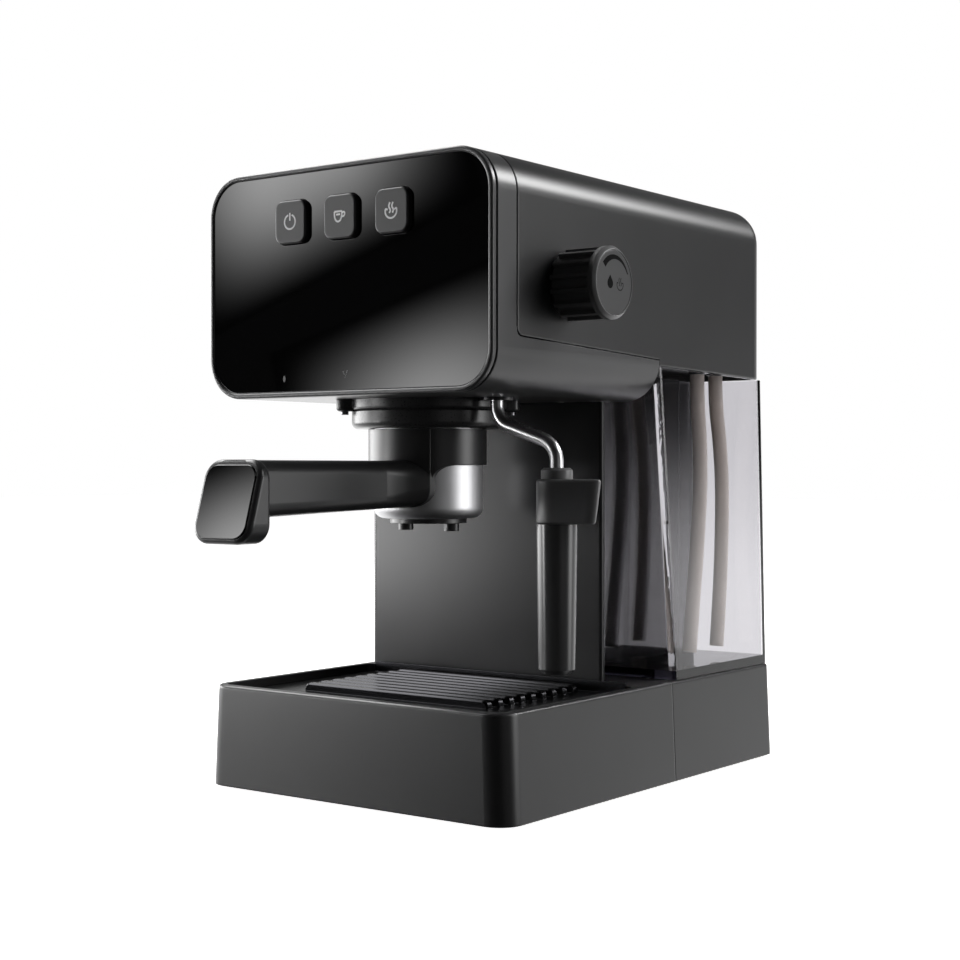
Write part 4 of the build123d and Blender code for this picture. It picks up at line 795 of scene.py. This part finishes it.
@dataclass
class FrothGrip:
    """The frother's grip: a barrel that runs out sideways into a thumb rest, one smooth form.

    Attributes:
        node: CAD node that it stands for.
        barrel: Radius of the barrel, in millimetres.
        rest: Thickness of the thumb rest's end, in millimetres.
        slope: How much less the rest reaches at its foot, in millimetres.
        turn_in: Share of the radius beyond which the outline belongs to the rest.
        soft_edge: Rounding of the edges, in millimetres.
        facets: Edges of the barrel's outline.
    """

    node: str = "froth_grip"
    barrel: float = 10.6
    rest: float = 9.0
    slope: float = 3.5
    turn_in: float = 0.35
    soft_edge: float = 1.6
    facets: int = 72

    def build(self) -> bpy.types.Object:
        """Shape the grip from an upright cylinder.

        Returns:
            The grip.
        """
        low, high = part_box(self.node)
        middle = Vector((low.x + self.barrel * MM, (low.y + high.y) / 2, (low.z + high.z) / 2))
        start_piece()
        bpy.ops.mesh.primitive_cylinder_add(
            vertices=self.facets, radius=self.barrel * MM, depth=high.z - low.z, location=middle
        )
        grip = bpy.context.object
        grip.name = grip.data.name = "thumb_grip"
        bpy.ops.object.transform_apply(location=True, rotation=True, scale=True)
        limit = middle.x + self.turn_in * self.barrel * MM
        reach = high.x - middle.x - self.barrel * MM
        thin = self.rest / (2 * self.barrel * math.sqrt(1 - self.turn_in**2))
        self.pull(grip, limit, math.inf, (reach, thin), middle)
        foot = middle.x + self.barrel * MM
        self.pull(grip, foot, middle.z, (-self.slope * MM, 1.0), middle)
        soften(grip, self.soft_edge, segments=4, sharp=50.0, smooth_to=40.0)
        self.dress(grip)
        return grip

    def dress(self, grip: bpy.types.Object) -> None:
        """Give the grip its nylon and its body, and hide the node that it stands for.

        Args:
            grip: The grip.
        """
        grip.data.materials.append(GRIP.material())
        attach(grip, "steam_wand")
        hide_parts(self.node)

    def pull(self, grip: bpy.types.Object, beyond: float, below: float, move: Pair, middle: Vector) -> None:
        """Move part of the outline sideways and narrow it.

        Args:
            grip: The grip.
            beyond: X past which points move, in metres.
            below: Height under which they move, in metres.
            move: Step along X in metres, and scale across.
            middle: Centre of the barrel.
        """
        clear_selection()
        for point in grip.data.vertices:
            point.select = point.co.x > beyond and point.co.z < below
        bpy.ops.object.mode_set(mode="EDIT")
        bpy.ops.transform.resize(value=(1.0, move[1], 1.0), center_override=middle)
        bpy.ops.transform.translate(value=(move[0], 0.0, 0.0))
        bpy.ops.object.mode_set(mode="OBJECT")


class Facing(Enum):
    """Ways that a printed mark can face, as its right and outward directions."""

    FRONT = ((1.0, 0.0, 0.0), (0.0, -1.0, 0.0))
    RIGHT = ((0.0, 1.0, 0.0), (1.0, 0.0, 0.0))


@dataclass
class Mark:
    """A small printed sign: lines of ink and filled shapes, in millimetres about its middle.

    Attributes:
        name: Piece's name.
        body: CAD body that it rides on.
        place: Its middle on the surface, in metres.
        facing: Way that it faces.
        finish: Its ink.
        lines: Point lists of its lines, which are open.
        fills: Point lists of its filled shapes, which are closed.
        stroke: Width of its lines before they are scaled.
        relief: Thickness of the ink.
        size: Scale of the points and the lines' width.
        smooth_to: Angle up to which its faces are shaded as one, in degrees.
    """

    name: str
    body: str
    place: Vector
    facing: Facing
    finish: Finish
    lines: list[list[Point]] = field(default_factory=list)
    fills: list[list[Point]] = field(default_factory=list)
    stroke: float = 0.9
    relief: float = 0.16
    size: float = 1.0
    smooth_to: float = 35.0

    def build(self) -> bpy.types.Object:
        """Build the sign flat, then place it on its surface.

        Returns:
            The sign.
        """
        shapes = []
        if self.lines:
            shapes.append(self.drawn(self.lines, False))
        if self.fills:
            shapes.append(self.drawn(self.fills, True))
        start_piece()
        for shape in shapes:
            shape.select_set(True)
        bpy.context.view_layer.objects.active = shapes[0]
        bpy.ops.object.join()
        sign = bpy.context.object
        sign.name = sign.data.name = self.name
        right, out = (Vector(way) for way in self.facing.value)
        turn = Matrix((right, out.cross(right), out)).transposed().to_4x4()
        sign.data.transform(Matrix.Translation(self.place) @ turn)
        bpy.ops.object.mode_set(mode="EDIT")
        bpy.ops.mesh.select_all(action="SELECT")
        bpy.ops.mesh.normals_make_consistent(inside=False)
        bpy.ops.object.mode_set(mode="OBJECT")
        bpy.ops.object.shade_smooth_by_angle(angle=math.radians(self.smooth_to))
        self.dress(sign)
        return sign

    def dress(self, sign: bpy.types.Object) -> None:
        """Give the sign its ink and its body.

        Args:
            sign: The sign.
        """
        sign.data.materials.clear()
        sign.data.materials.append(self.finish.material())
        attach(sign, self.body)

    def drawn(self, point_lists: list[list[Point]], filled: bool) -> bpy.types.Object:
        """Draw lines or filled shapes as a flat mesh in the XY plane.

        Args:
            point_lists: Points of each line or shape.
            filled: Whether they are filled shapes.

        Returns:
            The mesh object, as thick as the ink.
        """
        curve = bpy.data.curves.new(f"{self.name}_curve", "CURVE")
        curve.dimensions = "2D" if filled else "3D"
        for points in point_lists:
            spline = curve.splines.new("POLY")
            spline.points.add(len(points) - 1)
            for point, (x, y) in zip(spline.points, points):
                point.co = (x * self.size * MM, y * self.size * MM, 0.0, 1.0)
            spline.use_cyclic_u = filled
        if filled:
            curve.fill_mode = "BOTH"
            curve.extrude = self.relief * MM / 2
        else:
            curve.bevel_depth = self.stroke * self.size * MM / 2
            curve.bevel_resolution = 3
            curve.use_fill_caps = True
        shape = bpy.data.objects.new(f"{self.name}_shape", curve)
        bpy.context.scene.collection.objects.link(shape)
        pick(shape)
        bpy.ops.object.convert(target="MESH")
        if not filled:
            flat = self.relief / (self.stroke * self.size)
            shape.data.transform(Matrix.Diagonal((1, 1, flat, 1)))
        return shape


def arc(radius: float, start: float, end: float, steps: int = 32, middle: Point = (0.0, 0.0)) -> list[Point]:
    """List points on a circle.

    Args:
        radius: Circle's radius.
        start: First angle, in degrees.
        end: Last angle, in degrees.
        steps: Number of steps between them.
        middle: Circle's centre.

    Returns:
        The points.
    """
    angles = [math.radians(start + (end - start) * index / steps) for index in range(steps + 1)]
    return [(middle[0] + radius * math.cos(angle), middle[1] + radius * math.sin(angle)) for angle in angles]


def smooth(points: list[Point], rounds: int = 3) -> list[Point]:
    """Round the corners of an open line by cutting them again and again.

    Args:
        points: Corners of the line.
        rounds: Number of cuts.

    Returns:
        The smoother line, with the same ends.
    """
    for _ in range(rounds):
        cut = [points[0]]
        for (ax, ay), (bx, by) in zip(points, points[1:]):
            cut.append((0.75 * ax + 0.25 * bx, 0.75 * ay + 0.25 * by))
            cut.append((0.25 * ax + 0.75 * bx, 0.25 * ay + 0.75 * by))
        points = [*cut, points[-1]]
    return points


# Thickness of a mark that is printed in one thin coat, in millimetres
THIN_COAT = 0.04
# Lines of the signs, in millimetres before they are scaled: a power ring, a cup and a steaming bowl
POWER_LINES: list[list[Point]] = [arc(3.8, 110.0, 430.0), [(0.0, 0.6), (0.0, 4.7)]]
CUP_LINES: list[list[Point]] = [
    smooth([(-4.3, 3.2), (-4.1, -0.6), (-2.6, -3.5), (0.6, -3.5), (2.2, -0.6), (2.5, 3.2)]),
    [(-4.3, 3.2), (2.5, 3.2)],
    smooth([(2.5, 2.5), (5.0, 2.6), (4.6, -0.2), (2.1, -0.4)]),
    [(-2.6, 1.2), (0.8, 1.2)],
]
BOWL_LEFT: list[Point] = [(-2.5, 0.4), (-4.4, 1.2), (-4.2, -2.4), (-1.6, -4.6)]
BOWL_RIGHT: list[Point] = [(1.6, -4.6), (4.2, -2.4), (4.4, 1.2), (2.5, 0.4)]
STEAM_LINES: list[list[Point]] = [
    smooth([*BOWL_LEFT, *BOWL_RIGHT]),
    smooth([(-1.2, -1.6), (-0.2, 0.2), (-1.9, 2.2), (-0.8, 4.6)]),
    smooth([(1.1, -1.6), (2.1, 0.2), (0.4, 2.2), (1.5, 4.6)]),
]
ARROW_LINES: list[list[Point]] = [[(-1.5, 1.8), (0.0, -1.8), (1.5, 1.8)]]


@dataclass
class ControlFront:
    """Signs on the three buttons and the two turning marks on the panel.

    Attributes:
        stroke: Width of the lines on the buttons, in millimetres.
        cup_size: Scale of the cup.
        steam_size: Scale of the steaming bowl.
        dot: X and Z of the locked mark, in millimetres.
        dot_half: Half the width and height of the locked mark, in millimetres.
        arrow: X and Z of the insert mark, in millimetres.
        arrow_stroke: Width of the insert mark's lines, in millimetres.
    """

    stroke: float = 1.0
    cup_size: float = 0.77
    steam_size: float = 0.87
    dot: Point = (-41.5, 223.6)
    dot_half: Pair = (0.9, 1.7)
    arrow: Point = (1.5, 224.8)
    arrow_stroke: float = 0.7

    def build(self) -> list[bpy.types.Object]:
        """Print the signs on the buttons and on the panel, and give them back."""
        return [*self.print_buttons(), *self.print_panel()]

    def print_buttons(self) -> list[bpy.types.Object]:
        """Print a sign on the middle of each button.

        Returns:
            The signs.
        """
        signs = []
        for name, lines, size in (
            ("power", POWER_LINES, 1.0),
            ("brew", CUP_LINES, self.cup_size),
            ("steam", STEAM_LINES, self.steam_size),
        ):
            button = f"{name}_button"
            low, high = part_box(button)
            place = Vector(((low.x + high.x) / 2, low.y, (low.z + high.z) / 2))
            stroke = self.stroke / size
            sign = Mark(f"{name}_sign", button, place, Facing.FRONT, INK, lines, stroke=stroke, size=size)
            signs.append(sign.build())
        return signs

    def print_panel(self) -> list[bpy.types.Object]:
        """Print the locked mark and the insert mark on the panel.

        Returns:
            The two marks.
        """
        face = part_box("front_panel")[0].y
        dot_place, arrow_place = (Vector((x * MM, face, z * MM)) for x, z in (self.dot, self.arrow))
        oval = [(self.dot_half[0] * x, self.dot_half[1] * y) for x, y in arc(1.0, 0, 360, 24)]
        marks = [
            Mark(
                "lock_dot",
                "machine_body",
                dot_place,
                Facing.FRONT,
                GREY_INK,
                fills=[oval],
                relief=THIN_COAT,
            ),
            Mark(
                "insert_arrow",
                "machine_body",
                arrow_place,
                Facing.FRONT,
                GREY_INK,
                ARROW_LINES,
                stroke=self.arrow_stroke,
                relief=THIN_COAT,
            ),
        ]
        return [mark.build() for mark in marks]


@dataclass
class KnobFace:
    """Signs on the steam knob's cap: a growing arc, a drop and a steaming bowl.

    Attributes:
        arc_radius: Outer radius of the arc, in millimetres.
        arc_from: Angle of its wide end, in degrees.
        arc_to: Angle of its narrow end, in degrees.
        arc_width: Width of its wide end, in millimetres.
        arc_tip: Width of its narrow end, in millimetres.
        drop_tip: Place of the drop's tip from the cap's middle, in millimetres.
        drop_belly: Place of the drop's round part, in millimetres.
        drop_radius: Radius of the round part, in millimetres.
        bowl: Place of the steaming bowl from the cap's middle, in millimetres.
        bowl_stroke: Width of the bowl's lines before they are scaled, in millimetres.
        bowl_size: Scale of the bowl.
    """

    arc_radius: float = 14.0
    arc_from: float = 138.0
    arc_to: float = 22.0
    arc_width: float = 3.4
    arc_tip: float = 0.8
    drop_tip: Point = (-3.6, 3.6)
    drop_belly: Point = (-3.6, -0.6)
    drop_radius: float = 2.6
    bowl: Point = (5.6, -0.4)
    bowl_stroke: float = 0.9
    bowl_size: float = 0.68

    def build(self) -> list[bpy.types.Object]:
        """Print the signs.

        Returns:
            The signs.
        """
        low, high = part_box("knob_cap")
        middle = Vector((high.x, (low.y + high.y) / 2, (low.z + high.z) / 2))
        drop = [self.drop_tip, *arc(self.drop_radius, 35, -215, 24, self.drop_belly)]
        bowl_place = middle + Vector((0.0, self.bowl[0] * MM, self.bowl[1] * MM))
        marks = [
            self.filled("knob_arc", middle, self.sweep()),
            self.filled("knob_drop", middle, drop),
            Mark(
                "knob_steam",
                "steam_knob",
                bowl_place,
                Facing.RIGHT,
                FAINT_INK,
                STEAM_LINES,
                stroke=self.bowl_stroke,
                relief=THIN_COAT,
                size=self.bowl_size,
            ),
        ]
        return [mark.build() for mark in marks]

    def filled(self, name: str, place: Vector, shape: list[Point]) -> Mark:
        """Describe a filled dark mark on the cap, with its outline in millimetres about its place."""
        return Mark(name, "steam_knob", place, Facing.RIGHT, DARK_INK, fills=[shape], relief=THIN_COAT)

    def sweep(self) -> list[Point]:
        """Outline the arc, which narrows from its first end to its last.

        Returns:
            The outline's points.
        """
        outer = arc(self.arc_radius, self.arc_from, self.arc_to)
        inner = []
        for index, (x, y) in enumerate(outer):
            share = index / (len(outer) - 1)
            width = self.arc_width * (1 - share) + self.arc_tip * share
            reach = (self.arc_radius - width) / self.arc_radius
            inner.append((x * reach, y * reach))
        return [*outer, *reversed(inner)]


# Routes of the two hoses from their spigots down, as Y and Z in millimetres
SUCTION_ROUTE: list[Point] = [
    (91.4, 232.3),
    (91.4, 216),
    (95, 192),
    (95.6, 163),
    (90.4, 121),
    (85.9, 92),
    (82.4, 66.5),
]
RETURN_ROUTE: list[Point] = [
    (113.6, 232.3),
    (113.6, 216),
    (119.4, 192),
    (122.6, 163),
    (121.2, 121),
    (118.6, 92),
    (115.4, 67.5),
]


def main() -> None:
    """Build the studio and the hoses, dress the CAD nodes, add grips and signs, and report each piece."""
    logging.basicConfig(level=logging.INFO, format="%(message)s")
    Studio().build()
    pieces = [
        Hose("suction_tube", "suction_hose", SUCTION_ROUTE).build(),
        Hose("return_tube", "return_hose", RETURN_ROUTE).build(),
    ]
    Dressing().build()
    pieces += [SteamKnob().build(), FrothGrip().build(), *ControlFront().build(), *KnobFace().build()]
    for piece in pieces:
        log.info("built %s in %s", piece.name, piece.active_material.name)


if __name__ == "__main__":
    main()
